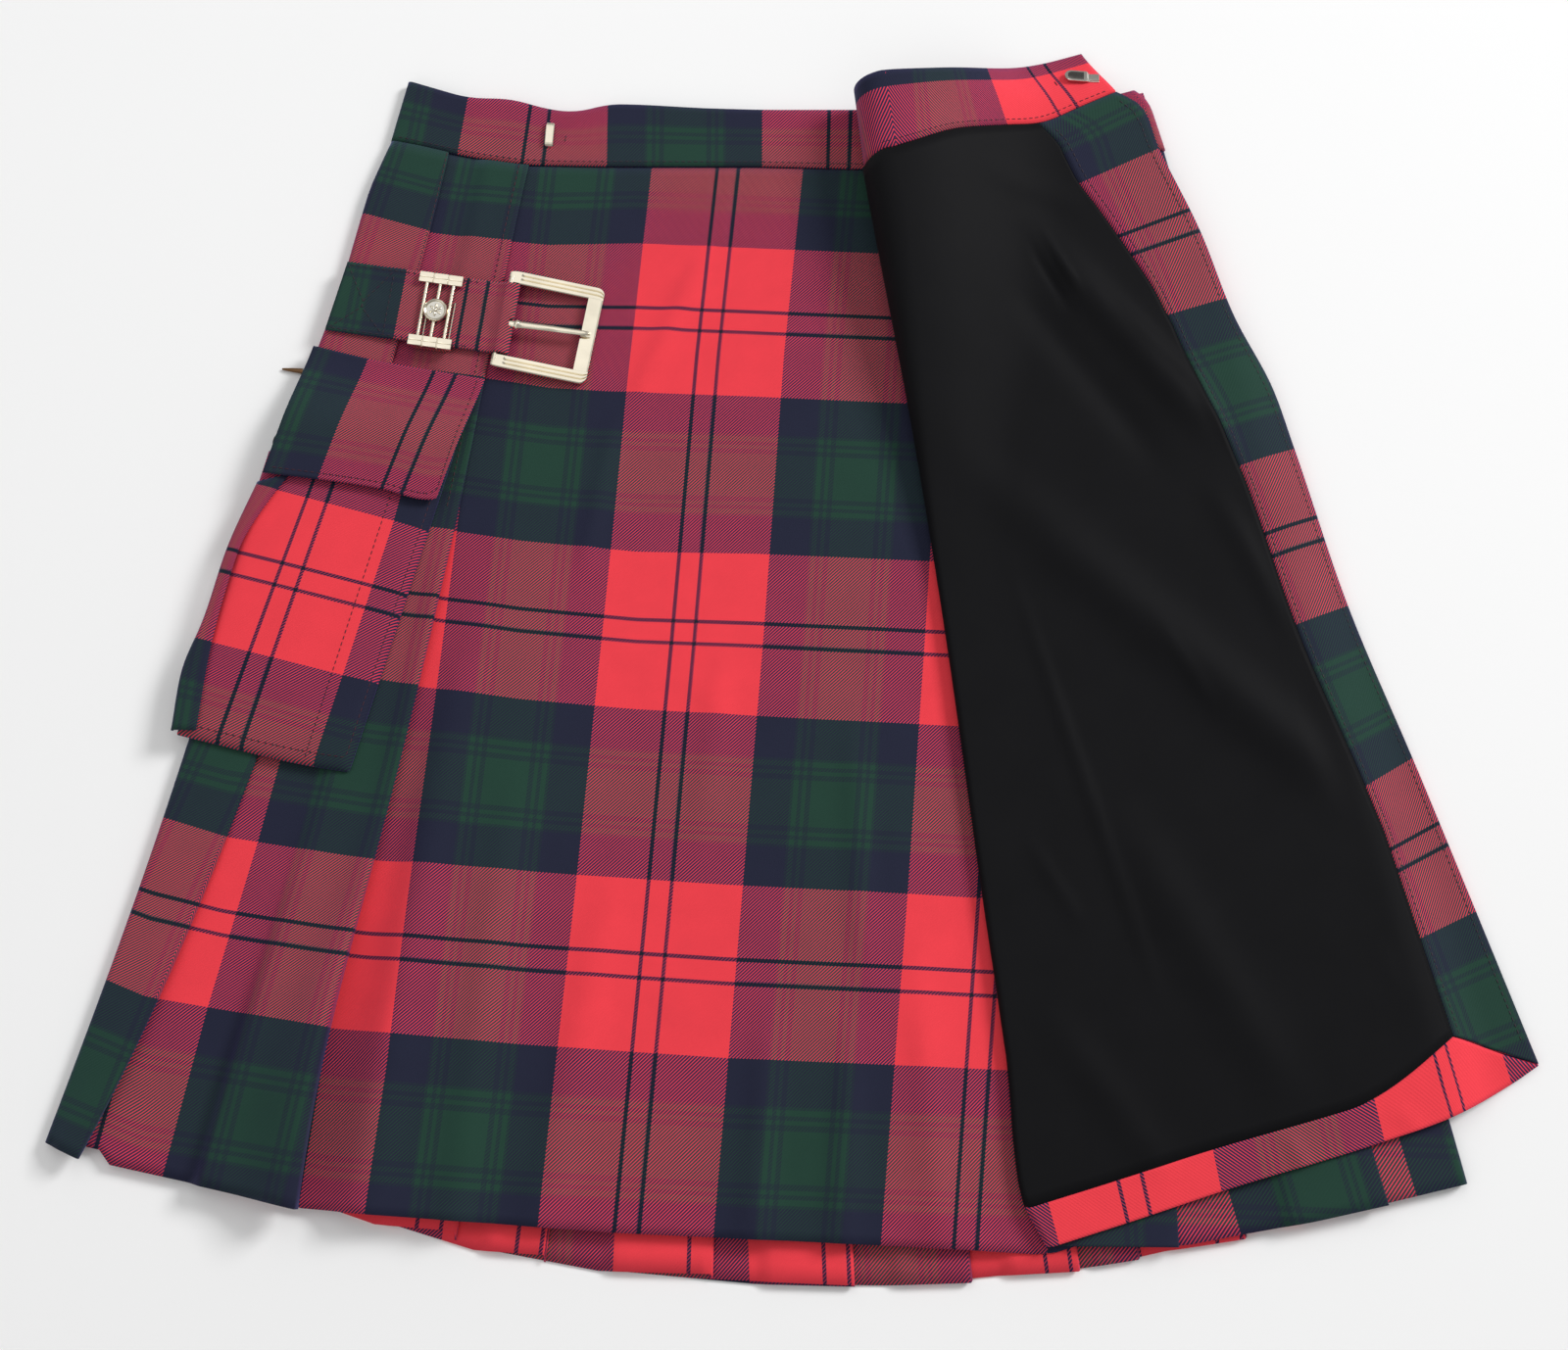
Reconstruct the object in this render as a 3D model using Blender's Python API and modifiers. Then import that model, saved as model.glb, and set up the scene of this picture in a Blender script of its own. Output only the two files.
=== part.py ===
"""A knife-pleated tartan kilt with cargo pocket and side strap, laid flat on its back.

X runs to the viewer's right, Y from hem to waist, Z up from the surface that the kilt lies on.
The over apron is folded open to the right, so its black lining shows. All tables are in millimetres.
"""

import math
from collections import namedtuple

import bmesh
import bpy
import numpy as np
from mathutils import Matrix, Vector

MM = 0.001

# Driving dimensions of the cloth
CLOTH = 1.0
AIR = 0.3
PLY = CLOTH + AIR
SEAM_GAP = 0.3
DROP = 570.0
BAND_CLOTH = 2.0

# Heights of the middle of each layer above the surface
BACK_LOW = CLOTH / 2
FRONT_LOW = 4.4
RIGHT_LOW = FRONT_LOW + PLY
APRON_UP = RIGHT_LOW + PLY
APRON_OVER = 9.6
BACK_BAND = BAND_CLOTH / 2
UNDER_BAND = 5.2
OVER_BAND = 7.6
OVER_BAND_KNOTS = (180, 172, 130, 80)
FELL_TOP = FRONT_LOW + 2 * PLY + CLOTH / 2

# The roll where the over apron turns back, from the waist seam to the hem
ROLL_AT_WAIST = 13.5
ROLL_AT_HEM = 1.5
ROLL_SHRINKS = 0.42
SETTLE_BASE = 30.0
SETTLE_PER_RADIUS = 5.2

# The over apron's free edge hangs past the right side, and its band past the top
SIDE_HANG = 8.4
SIDE_HANG_REACH = 38.0
TOP_HANG = 7.0
TOP_HANG_REACH = 28.0
TOP_HANG_FROM = 80.0
TOP_HANG_GROWS = 50.0
HANG_START = 2.0

# Knife pleats
PLEAT_RAMP = 11.0
PLEAT_FILL = 0.55
FRONT_PLEAT_FILL = 0.42
FOLD_STEPS = 3
ROLL_STEPS = 6
STATIONS = 9
SHOWN_STEPS = 19
HIDDEN_STEPS = 4
LEFT_PLEAT_INSET = 3.0
BAND_STATIONS = 5
LINING_STEPS = 13
CORNER_STEPS = 3

# Lines that run from the waist seam to the hem: x at each quarter of the drop
Rib = namedtuple("Rib", "waist upper middle lower hem")
LEFT_SIDE = Rib(-219, -264, -298, -334.5, -377)
LEFT_PLEAT_1 = Rib(-188, -220, -259, -303, -359)
LEFT_PLEAT_2 = Rib(-144, -168, -193, -223, -246.5)
APRON_FOLD = Rib(40, 64, 84, 102, 130)
UNDER_APRON_END = Rib(140, 158, 175, 190, 203)
RIGHT_PLEAT_1 = Rib(132, 150, 168, 184, 193)
RIGHT_PLEAT_2 = Rib(172, 203, 234, 265, 299)
RIGHT_SIDE = Rib(208, 240, 272, 306, 340)

# Edges that run across the cloth, as (x, y) points
FRONT_SEAM = [
    (-219, 282), (-204, 279), (-183, 274), (-165, 270.5), (-148, 268), (-102, 267),
    (-17, 267), (38, 265.5), (130, 267), (156, 268.5), (208, 277),
]
FRONT_BAND_TOP = [
    (-210.5, 317), (-178, 307), (-154, 306.5), (-133, 300), (-117, 298.5), (-101, 303.5),
    (-81, 303), (-49, 301), (-16, 300), (36, 300), (130, 301), (172, 306), (198, 313),
]
FRONT_HEM = [
    (-377, -257), (-359, -265), (-308, -276), (-247, -289.5), (-174, -295), (-88, -301.5),
    (13, -306), (83, -309.5), (130, -312.5), (203, -312),
]
OVER_HEM = [(130, -308), (193, -308.5), (225, -302.5), (262, -296), (299, -288), (340, -277.5)]
BACK_HEM = [
    (-377, -257), (-236, -292), (-169, -306), (-124, -316), (-80, -321), (-40, -324),
    (31, -330), (89, -324), (144, -320), (174, -314), (225, -304), (275, -294), (340, -277.5),
]

# The opened over apron, as (x, y) points
OPEN_SEAM = [(56, 266), (66, 270), (87, 279), (116, 286), (137, 290), (157, 299), (178, 308.5)]
OPEN_BAND_TOP = [(51, 309.5), (66, 311), (103, 318), (136, 326), (160.5, 332)]
OPEN_EDGE = [
    (178, 308.5), (190.5, 301), (200.5, 275.5), (221.5, 228), (239, 178), (258, 140.5),
    (268.5, 107), (293, 21.5), (323, -60), (351.5, -141), (377.5, -217),
]
OPEN_HEM = [
    (133, -307), (169, -296), (215.5, -281), (298, -256.5), (331.5, -245), (364, -227), (377.5, -217),
]

# Width of the facing along the free edge, from the waist to the hem, and of the turned-up hem
Facing = namedtuple("Facing", "drop width")
EDGE_FACING = [
    Facing(0.0, 47), Facing(0.12, 46), Facing(0.3, 38), Facing(0.42, 33), Facing(0.58, 29),
    Facing(0.75, 27), Facing(0.88, 31), Facing(1.0, 35),
]
HEM_FACING = 19.0

# Back knife pleats: where each inner fold meets the waist seam and the hem
BackPleat = namedtuple("BackPleat", "waist hem")
BACK_PLEATS = [
    BackPleat(-188, -326), BackPleat(-155, -276), BackPleat(-122, -224), BackPleat(-89, -169),
    BackPleat(-57, -124), BackPleat(-25, -40), BackPleat(8, 31), BackPleat(41, 90),
    BackPleat(73, 144), BackPleat(104, 174), BackPleat(137, 228), BackPleat(170, 278),
]

# Largest soft folds, each a ridge from one (x, y) to another, fading at the panels' sides
CREASE_MARGIN = 5.0
CREASE_FADE = 18.0
Crease = namedtuple("Crease", "x0 y0 x1 y1 half_width height")
UNDER_CREASES = [
    Crease(-165, 60, -214, -300, 15, 2.6),
    Crease(-118, -60, -150, -305, 13, 2.2),
    Crease(-62, -130, -78, -305, 14, 1.8),
    Crease(10, -120, 14, -310, 15, 1.8),
]
OPEN_CREASES = [
    Crease(95, 240, 190, -150, 20, 1.6),
    Crease(150, 230, 262, 10, 16, 1.3),
    Crease(120, -60, 200, -250, 18, 1.2),
]

# Side strap, keeper and buckle
STRAP_START = (-245.5, 191.5)
STRAP_END = (-155.0, 178.0)
STRAP_WIDTH = 39.4
STRAP_THICK = 2.1
STRAP_LIFT = 8.7
STRAP_SEWN = 22.0
STRAP_LIFTED = 34.0
STRAP_LOOP_START = 5.0
LOOP_STEPS = 16
BAR_RADIUS = 1.5
BAR_HEIGHT = 10.9
LOOP_RADIUS = 3.0
LOOP_BORE = 1.85
PRONG_SLOT = 5.4
BUCKLE_TURN = math.radians(-10.8)
BUCKLE_TILT = math.radians(4.4)
BUCKLE_INNER = 20.3
BUCKLE_ARM = 6.6
BUCKLE_REACH = 50.5
BUCKLE_END_BAR = 8.2
BUCKLE_THICK = 3.4
BUCKLE_CORNER = 7.0
PRONG_LENGTH = 47.0
PRONG_EYE = 4.0
PRONG_RAISE = 0.6
PRONG_RADIUS = 1.5
PRONG_TIP_RADIUS = 1.0
PRONG_LIFT = math.radians(3.6)
KEEPER_ALONG = 54.5
KEEPER_LENGTH = 23.0
KEEPER_BLOCK = 5.9
KEEPER_BLOCK_THICK = 3.0
KEEPER_WALL = 0.9
KEEPER_BAR_GAP = 7.2
KEEPER_BAR_RADIUS = 1.05
KEEPER_PLATE = 0.6
KEEPER_INSET = 3.0
MEDALLION_RADIUS = 7.0
MEDALLION_CROWN = 5.8
MEDALLION_THICK = 2.8
MEDALLION_SUNK = 0.4

# Cargo pocket: corners as (x, y)
POCKET_TOP = [(-279, 104), (-180, 104)]
POCKET_LOW = [(-316, -49.5), (-246, -65.5), (-230, -68)]
POCKET_RISE = 3.6
POCKET_WALL = 1.2
POCKET_BULGE = 1.3
POCKET_ROUND = 7.0
POCKET_DOWN = (0.0, 0.25, 0.5, 0.72, 0.87, 0.955, 1.0)
POCKET_ACROSS = (0.0, 0.035, 0.09, 0.25, 0.5, 0.75, 0.91, 0.965, 1.0)
SIDE_FOLD_TURN = 3.2
SIDE_FOLD_STATIONS = 7
SIDE_FOLD_PUFF = 0.4
FLAP_SETTLES = 0.62
FLAP_STATIONS = 8
FLAP_TOP = [(-257, 162), (-228, 154.5), (-164.5, 142)]
FLAP_LOW = [(-279.5, 90.5), (-209, 80), (-193, 75), (-187, 78.5)]
FLAP_WALL = 1.2
SIDE_FOLD_LEFT = [(-283, 86), (-296, 54), (-310, 9), (-318, -12), (-323.5, -47)]
SIDE_FOLD_RIGHT = [(-267, 88.5), (-274, 81), (-292, 50), (-296, 36), (-305.5, 1), (-311.5, -47.5)]

# Small metal pieces
EYE_BAR_AT = (-132.4, 285.1)
EYE_BAR_LENGTH = 14.5
EYE_BAR_WIDTH = 4.6
EYE_BAR_TURN = math.radians(101)
EYE_FOOT = 2.0
EYE_LEG = 2.6
EYE_TAPER = 0.8
EYE_CLEAR = 1.6
EYE_RISE = 2.5
HOOK_AT = (160.0, 316.0)
HOOK_LENGTH = 19.0
HOOK_WIDTH = 7.6
HOOK_TURN = math.radians(-3)
HOOK_PLATE = 0.8
HOOK_GAP = 1.0
HOOK_MOUTH = 5.0
HOOK_BEND = 1.4
HOOK_SEAT = 0.45
SNAP_AT = (-274.5, 111.5)
SNAP_RADIUS = 6.0
SNAP_CROWN = 5.4
SNAP_THICK = 2.4
SPARE_PRONG_TIP = (-275.0, 152.8)
SPARE_PRONG_ROOT = (-263.5, 151.2)
SPARE_PRONG_RADIUS = 1.1
SPARE_PRONG_POINT = 0.35

PART = bpy.data.collections.new("tartan_kilt")
CUTTERS = bpy.data.collections.new("kilt_cutters")


def clear_scene():
    """Empties the scene and links the two collections."""
    for obj in list(bpy.data.objects):
        bpy.data.objects.remove(obj, do_unlink=True)
    bpy.context.scene.collection.children.link(PART)
    bpy.context.scene.collection.children.link(CUTTERS)
    CUTTERS.hide_render = True


def finish(name, colour, roughness, metallic=0.0):
    """A plain Principled material."""
    material = bpy.data.materials.new(name)
    material.use_nodes = True
    shader = material.node_tree.nodes["Principled BSDF"]
    shader.inputs["Base Color"].default_value = (*colour, 1.0)
    shader.inputs["Roughness"].default_value = roughness
    shader.inputs["Metallic"].default_value = metallic
    return material


def smoothstep(value):
    """0 below 0, 1 above 1 and a smooth climb between."""
    value = np.clip(value, 0.0, 1.0)
    return value * value * (3 - 2 * value)


def curve_through(points, where):
    """A smooth curve through (x, y) points, read at shares of its length."""
    points = np.asarray(points, float)
    steps = np.hypot(*np.diff(points, axis=0).T)
    knots = np.concatenate([[0], np.cumsum(steps)]) / steps.sum()
    slopes = np.gradient(points, knots, axis=0)
    where = np.clip(np.atleast_1d(where), 0, 1)
    cell = np.clip(np.searchsorted(knots, where, side="right") - 1, 0, len(knots) - 2)
    width = (knots[cell + 1] - knots[cell])[:, None]
    t = (where[:, None] - knots[cell][:, None]) / width
    start, end = points[cell], points[cell + 1]
    lean_in, lean_out = slopes[cell] * width, slopes[cell + 1] * width
    return (
        (2 * t**3 - 3 * t**2 + 1) * start
        + (t**3 - 2 * t**2 + t) * lean_in
        + (3 * t**2 - 2 * t**3) * end
        + (t**3 - t**2) * lean_out
    )


def height_of(table, x):
    """y of an edge table at x."""
    table = np.asarray(table, float)
    return np.interp(x, table[:, 0], table[:, 1])


def rib_x(rib, drop):
    """x of a rib at a share of the drop, on the quartic through its five stations."""
    stations = np.linspace(0, 1, len(rib))
    total = 0.0
    for i, x in enumerate(rib):
        others = np.delete(stations, i)
        total += x * np.prod((drop - others) / (stations[i] - others))
    return total


def body_y(drop, x, seam, hem):
    """y on the flattened tube at a share of the drop, from its seam and hem edges."""
    left, right = rib_x(LEFT_SIDE, drop), rib_x(RIGHT_SIDE, drop)
    across = (np.asarray(x, float) - left) / (right - left)
    at_seam = LEFT_SIDE.waist + across * (RIGHT_SIDE.waist - LEFT_SIDE.waist)
    at_hem = LEFT_SIDE.hem + across * (RIGHT_SIDE.hem - LEFT_SIDE.hem)
    return (1 - drop) * height_of(seam, at_seam) + drop * height_of(hem, at_hem)


def placed(drop, section, hem):
    """Section points (x, z) set on the body's plan."""
    section = np.asarray(section, float)
    y = body_y(drop, section[:, 0], FRONT_SEAM, hem)
    return np.column_stack([section[:, 0], y, section[:, 1]])


def arc(x, z, radius, start, end, steps):
    """Points (x, z) on an arc, from one angle to another in degrees."""
    angles = np.radians(np.linspace(start, end, steps + 1))
    return [(x + radius * math.cos(a), z + radius * math.sin(a)) for a in angles]


def pleat(edge, depth, low):
    """One knife pleat whose fold faces right: climb, fold under, return, fold on."""
    half = PLY / 2
    high, middle = low + 2 * PLY, low + PLY
    hidden = edge - depth
    return [
        (hidden - PLEAT_RAMP, low),
        (hidden - PLEAT_RAMP / 2, (low + high) / 2),
        (hidden - CLOTH, high),
        *arc(edge - half, high - half, half, 90, -90, FOLD_STEPS),
        *arc(hidden + half, middle - half, half, 90, 270, FOLD_STEPS),
    ]


def ridge(creases, x, y):
    """Height that the soft folds add at (x, y)."""
    total = np.zeros_like(np.asarray(x, float))
    for fold in creases:
        run = np.array([fold.x1 - fold.x0, fold.y1 - fold.y0], float)
        length = np.hypot(*run)
        along = ((x - fold.x0) * run[0] + (y - fold.y0) * run[1]) / length**2
        aside = ((x - fold.x0) * run[1] - (y - fold.y0) * run[0]) / length
        grow = smoothstep(along / 0.7) * smoothstep((1.25 - along) / 0.25)
        total += fold.height * grow * np.exp(-((aside / fold.half_width) ** 2))
    return total


def link(obj, material, collection=PART):
    """Puts an object in a collection with its material."""
    collection.objects.link(obj)
    obj.data.materials.append(material)
    return obj


def sheet(name, rows, thickness, material, keep=None):
    """A cloth wall: a lofted grid of points in millimetres, made solid about its middle.

    keep says of each cell whether it is whole, or only its left or right half is there.
    """
    rows = [np.asarray(row, float) for row in rows]
    across = len(rows[0])
    mesh = bpy.data.meshes.new(name)
    faces = []
    for r in range(len(rows) - 1):
        for c in range(across - 1):
            corners = [(r, c), (r, c + 1), (r + 1, c + 1), (r + 1, c)]
            part = keep(r, c) if keep else "whole"
            if part == "whole":
                faces.append(corners)
            elif part == "left":
                faces.append(corners[:3])
            elif part == "right":
                faces.append([corners[0], corners[2], corners[3]])
    used = sorted({corner for face in faces for corner in face})
    order = {corner: index for index, corner in enumerate(used)}
    vertices = [tuple(rows[r][c] * MM) for r, c in used]
    mesh.from_pydata(vertices, [], [[order[corner] for corner in face] for face in faces])
    mesh.shade_smooth()
    obj = link(bpy.data.objects.new(name, mesh), material)
    solid = obj.modifiers.new("Solidify", "SOLIDIFY")
    solid.thickness = thickness * MM
    solid.offset = 0.0
    return obj


def drops(end=1.0):
    """Even shares of the drop, starting just below the waist seam."""
    return np.linspace(SEAM_GAP / DROP, end, STATIONS)


def back_pleats(material):
    """The whole back, pleated from side to side, from one side seam to the other."""
    rows = []
    for drop in drops():
        left = rib_x(LEFT_SIDE, drop) + left_wrap() + SEAM_GAP
        right = rib_x(RIGHT_SIDE, drop) - right_wrap() - SEAM_GAP
        section, before = [(left, BACK_LOW)], left
        for row in BACK_PLEATS:
            edge = row.waist + (row.hem - row.waist) * drop
            depth = PLEAT_FILL * (edge - before)
            section += pleat(edge, depth, BACK_LOW)
            before = edge
        section.append((right, BACK_LOW))
        rows.append(placed(drop, section, BACK_HEM))
    return sheet("back_pleats", rows, CLOTH, material)


def left_wrap():
    """Radius of the left side's turn, up to the top of the front pleats."""
    return (FRONT_LOW + 2 * PLY - BACK_LOW) / 2


def right_wrap():
    """Radius of the right side's turn."""
    return (RIGHT_LOW - BACK_LOW) / 2


def left_front_pleat_depth(drop):
    """Depth of the second left pleat."""
    return FRONT_PLEAT_FILL * (rib_x(LEFT_PLEAT_2, drop) - rib_x(LEFT_PLEAT_1, drop))


def under_apron_start(drop):
    """Where the left pleats hand over to the under apron, hidden below the second pleat."""
    return rib_x(LEFT_PLEAT_2, drop) - left_front_pleat_depth(drop) / 2


def left_side_pleats(material):
    """Two pleats of the front's left, with the turn round the left side."""
    rows = []
    turn = left_wrap()
    for drop in drops():
        side = rib_x(LEFT_SIDE, drop)
        first, second = rib_x(LEFT_PLEAT_1, drop), rib_x(LEFT_PLEAT_2, drop)
        hidden = side + turn + LEFT_PLEAT_INSET
        wrap = arc(side + turn, BACK_LOW + turn, turn, 270, 90, ROLL_STEPS)
        upper = pleat(first, first - hidden, FRONT_LOW)[3:]
        lower = pleat(second, left_front_pleat_depth(drop), FRONT_LOW)
        section = wrap + upper + lower + [(under_apron_start(drop), FRONT_LOW)]
        rows.append(placed(drop, section, FRONT_HEM))
    return sheet("left_side_pleats", rows, CLOTH, material)


def under_apron(material):
    """The flat inner apron, from below the second left pleat to its hidden end."""
    rows = []
    for drop in drops():
        start = under_apron_start(drop) + SEAM_GAP
        fold = rib_x(APRON_FOLD, drop) - CREASE_MARGIN
        end = rib_x(UNDER_APRON_END, drop)
        x = np.concatenate([np.linspace(start, fold, SHOWN_STEPS), np.linspace(fold, end, HIDDEN_STEPS)[1:]])
        y = body_y(drop, x, FRONT_SEAM, FRONT_HEM)
        clear = rib_x(LEFT_PLEAT_2, drop) + CREASE_MARGIN
        show = smoothstep((x - clear) / CREASE_FADE) * smoothstep((fold - x) / CREASE_FADE)
        z = FRONT_LOW + ridge(UNDER_CREASES, x, y) * show
        rows.append(np.column_stack([x, y, z]))
    return sheet("under_apron", rows, CLOTH, material)


def right_front_pleat_depth(drop):
    """Depth of both pleats on the front's right."""
    return FRONT_PLEAT_FILL * (rib_x(RIGHT_PLEAT_2, drop) - rib_x(RIGHT_PLEAT_1, drop))


def over_apron_end(drop):
    """Where the over apron hands over to the right pleats, hidden below its own pleat."""
    return rib_x(RIGHT_PLEAT_1, drop) - right_front_pleat_depth(drop) / 2


def right_side_pleats(material):
    """The pleats between the over apron and the back, with the turn round the right side."""
    rows = []
    turn = right_wrap()
    for drop in apron_drops():
        side = rib_x(RIGHT_SIDE, drop)
        fold = pleat(rib_x(RIGHT_PLEAT_2, drop), right_front_pleat_depth(drop), RIGHT_LOW)
        wrap = arc(side - turn, BACK_LOW + turn, turn, 90, -90, ROLL_STEPS)
        section = [(over_apron_end(drop) + SEAM_GAP, RIGHT_LOW)] + fold + wrap
        rows.append(placed(drop, section, OVER_HEM))
    return sheet("right_side_pleats", rows, CLOTH, material)


def roll_radius(drop):
    """Radius of the over apron's roll, to the middle of the tartan."""
    return ROLL_AT_HEM + (ROLL_AT_WAIST - ROLL_AT_HEM) * (1 - smoothstep(drop / ROLL_SHRINKS))


def fold_line(drop):
    """Plan point of the roll's middle at a share of the drop."""
    x = rib_x(APRON_FOLD, drop) + roll_radius(drop) + PLY + CLOTH / 2
    return np.array([x, body_y(drop, rib_x(APRON_FOLD, drop), FRONT_SEAM, OVER_HEM)])


def right_side_at(y):
    """x of the right side at a y."""
    share = np.clip((FRONT_SEAM[-1][1] - y) / (FRONT_SEAM[-1][1] - OVER_HEM[-1][1]), 0, 1)
    return np.array([rib_x(RIGHT_SIDE, value) for value in np.atleast_1d(share)])


def open_height(drop, plan, from_fold):
    """Height of the opened apron's tartan: down from the roll, level, then hanging over the edges."""
    x, y = plan[:, 0], plan[:, 1]
    radius = roll_radius(drop)
    top = APRON_UP + 2 * radius
    settle = 1 - smoothstep(from_fold / (SETTLE_BASE + SETTLE_PER_RADIUS * radius))
    past_side = x - right_side_at(y) + HANG_START
    past_top = y - height_of(FRONT_BAND_TOP, x) + HANG_START
    hang = SIDE_HANG * smoothstep(past_side / SIDE_HANG_REACH)
    grown = smoothstep((x - TOP_HANG_FROM) / TOP_HANG_GROWS)
    hang += TOP_HANG * smoothstep(past_top / TOP_HANG_REACH) * grown
    calm = smoothstep(from_fold / CREASE_FADE) * (1 - smoothstep((past_side + CREASE_FADE) / CREASE_FADE))
    return APRON_OVER + (top - APRON_OVER) * settle - hang + ridge(OPEN_CREASES, x, y) * calm


def open_plan(drop, across):
    """Plan points of the opened apron: a patch between the fold, the free edge, seam and hem."""
    across = np.asarray(across, float)
    share = across[:, None]
    corners = [fold_line(0.0), np.array(OPEN_EDGE[0]), fold_line(1.0), np.array(OPEN_EDGE[-1])]
    seam = curve_through([corners[0], *OPEN_SEAM[1:]], across)
    hem = curve_through([corners[2], *OPEN_HEM[1:]], across)
    sides = (1 - share) * fold_line(drop) + share * curve_through(OPEN_EDGE, drop)[0]
    ends = (1 - drop) * seam + drop * hem
    flat = (1 - drop) * ((1 - share) * corners[0] + share * corners[1])
    flat += drop * ((1 - share) * corners[2] + share * corners[3])
    return sides + ends - flat


def open_points(drop, across, lift):
    """Points of a layer of the opened apron, lift above its tartan's middle."""
    plan = open_plan(drop, across)
    from_fold = np.hypot(*(plan - fold_line(drop)).T)
    return np.column_stack([plan, open_height(drop, plan, from_fold) + lift])


def roll(drop, lift):
    """The turn of the over apron about its fold, lift outside the tartan's middle."""
    radius = roll_radius(drop)
    x, y = fold_line(drop)
    section = arc(x, APRON_UP + radius, radius + lift, 270, 90, ROLL_STEPS)
    return np.array([(px, y, pz) for px, pz in section])


def apron_drops():
    """Stations of the over apron: even ones down to the turned-up hem, then the hem's own."""
    hem = np.linspace(hem_share(), 1.0, CORNER_STEPS + 1)
    return np.concatenate([drops(hem_share()), hem[1:]])


def open_shares(drop):
    """Shares across the opened part: the lining's, then the edge facing's."""
    inner = facing_share(drop)
    lining = np.linspace(0, inner, LINING_STEPS + 1)[1:]
    return np.concatenate([lining, np.linspace(inner, 1, CORNER_STEPS + 1)[1:]])


def facing_share(drop):
    """Share of the opened apron's width where the edge facing begins."""
    table = np.asarray(EDGE_FACING, float)
    return 1 - np.interp(drop, table[:, 0], table[:, 1]) / open_width(drop)


def open_width(drop):
    """Width of the opened part from the roll to the free edge."""
    return np.hypot(*(curve_through(OPEN_EDGE, drop)[0] - fold_line(drop)))


def hem_share():
    """Share of the drop where the turned-up hem begins."""
    return 1 - HEM_FACING / DROP


def over_apron(material):
    """The over apron's tartan: a hidden pleat, the face, the roll and the opened part."""
    rows = []
    for drop in apron_drops():
        end, edge = over_apron_end(drop), rib_x(RIGHT_PLEAT_1, drop)
        hidden = edge - right_front_pleat_depth(drop)
        fold = pleat(edge, edge - hidden, RIGHT_LOW)[::-1][: 2 * (FOLD_STEPS + 1)]
        face = [(hidden - CLOTH, RIGHT_LOW + 2 * PLY), (hidden - PLEAT_RAMP, APRON_UP)]
        under = placed(drop, [(end, RIGHT_LOW)] + fold + face, OVER_HEM)
        rows.append(np.vstack([under, roll(drop, 0.0), open_points(drop, open_shares(drop), 0.0)]))
    return sheet("over_apron", rows, CLOTH, material)


def below_face(drop):
    """The hidden stretch of lining or hem under the over apron's face, from right to left."""
    start = rib_x(RIGHT_PLEAT_1, drop) - right_front_pleat_depth(drop) - PLEAT_RAMP
    section = [(x, APRON_UP - PLY) for x in np.linspace(start, fold_line(drop)[0], 4)[:-1]]
    return placed(drop, section, OVER_HEM)


def over_apron_lining(material):
    """The black lining, from below the face round the roll to the edge facing."""
    rows = []
    stations = drops(hem_share())
    stations[-1] -= SEAM_GAP / DROP
    for drop in stations:
        across = open_shares(drop)[:LINING_STEPS]
        across[-1] -= SEAM_GAP / open_width(drop)
        rows.append(np.vstack([below_face(drop), roll(drop, PLY), open_points(drop, across, PLY)]))
    return sheet("over_apron_lining", rows, CLOTH, material)


def over_apron_edge_facing(material):
    """The tartan strip along the free edge, ending in a mitre at the corner."""
    rows = []
    stations = apron_drops()
    for index, station in enumerate(stations):
        row = []
        for column, share in enumerate(open_shares(station)[LINING_STEPS - 1:]):
            seam = index - (STATIONS - 1) == column
            drop = station - (1.5 * SEAM_GAP / DROP if seam else 0)
            row.append(open_points(drop, [share], PLY)[0])
        rows.append(row)

    def keep(row, column):
        past = row - (STATIONS - 1) - column
        return "whole" if past < 0 else "left" if past == 0 else ""

    return sheet("over_apron_edge_facing", rows, CLOTH, material, keep)


def over_apron_hem_facing(material):
    """The turned-up tartan hem, from below the face round the roll to the mitre."""
    rows = []
    for index, drop in enumerate(apron_drops()[STATIONS - 1:]):
        across = open_shares(drop)
        across[LINING_STEPS - 1 + index] -= SEAM_GAP / open_width(drop)
        rows.append(np.vstack([below_face(drop), roll(drop, PLY), open_points(drop, across, PLY)]))
    corner = len(rows[0]) - CORNER_STEPS - 1

    def keep(row, column):
        past = column - corner - row
        return "whole" if past < 0 else "right" if past == 0 else ""

    return sheet("over_apron_hem_facing", rows, CLOTH, material, keep)


def band_row(rise, section, seam, top):
    """Section points (x, z) of a waistband, rise being 0 at the seam and 1 at its top edge."""
    section = np.asarray(section, float)
    low, high = height_of(seam, section[:, 0]), height_of(top, section[:, 0])
    gap = SEAM_GAP * (1 - rise)
    return np.column_stack([section[:, 0], low + gap + (high - low - gap) * rise, section[:, 1]])


def band_rises():
    """Stations up a waistband."""
    return np.linspace(0, 1, BAND_STATIONS)


def band_sides(rise):
    """x of the two sides of the waistband at a rise."""
    left = FRONT_SEAM[0][0] + rise * (FRONT_BAND_TOP[0][0] - FRONT_SEAM[0][0])
    right = FRONT_SEAM[-1][0] + rise * (FRONT_BAND_TOP[-1][0] - FRONT_SEAM[-1][0])
    return left, right


def band_knots(low, high):
    """x of the edge tables' corners between two sides, so that stacked bands bend alike."""
    inner = [x for x, _ in FRONT_SEAM + FRONT_BAND_TOP if low + PLY < x < high - PLY]
    return sorted({low, high, *inner})


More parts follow.
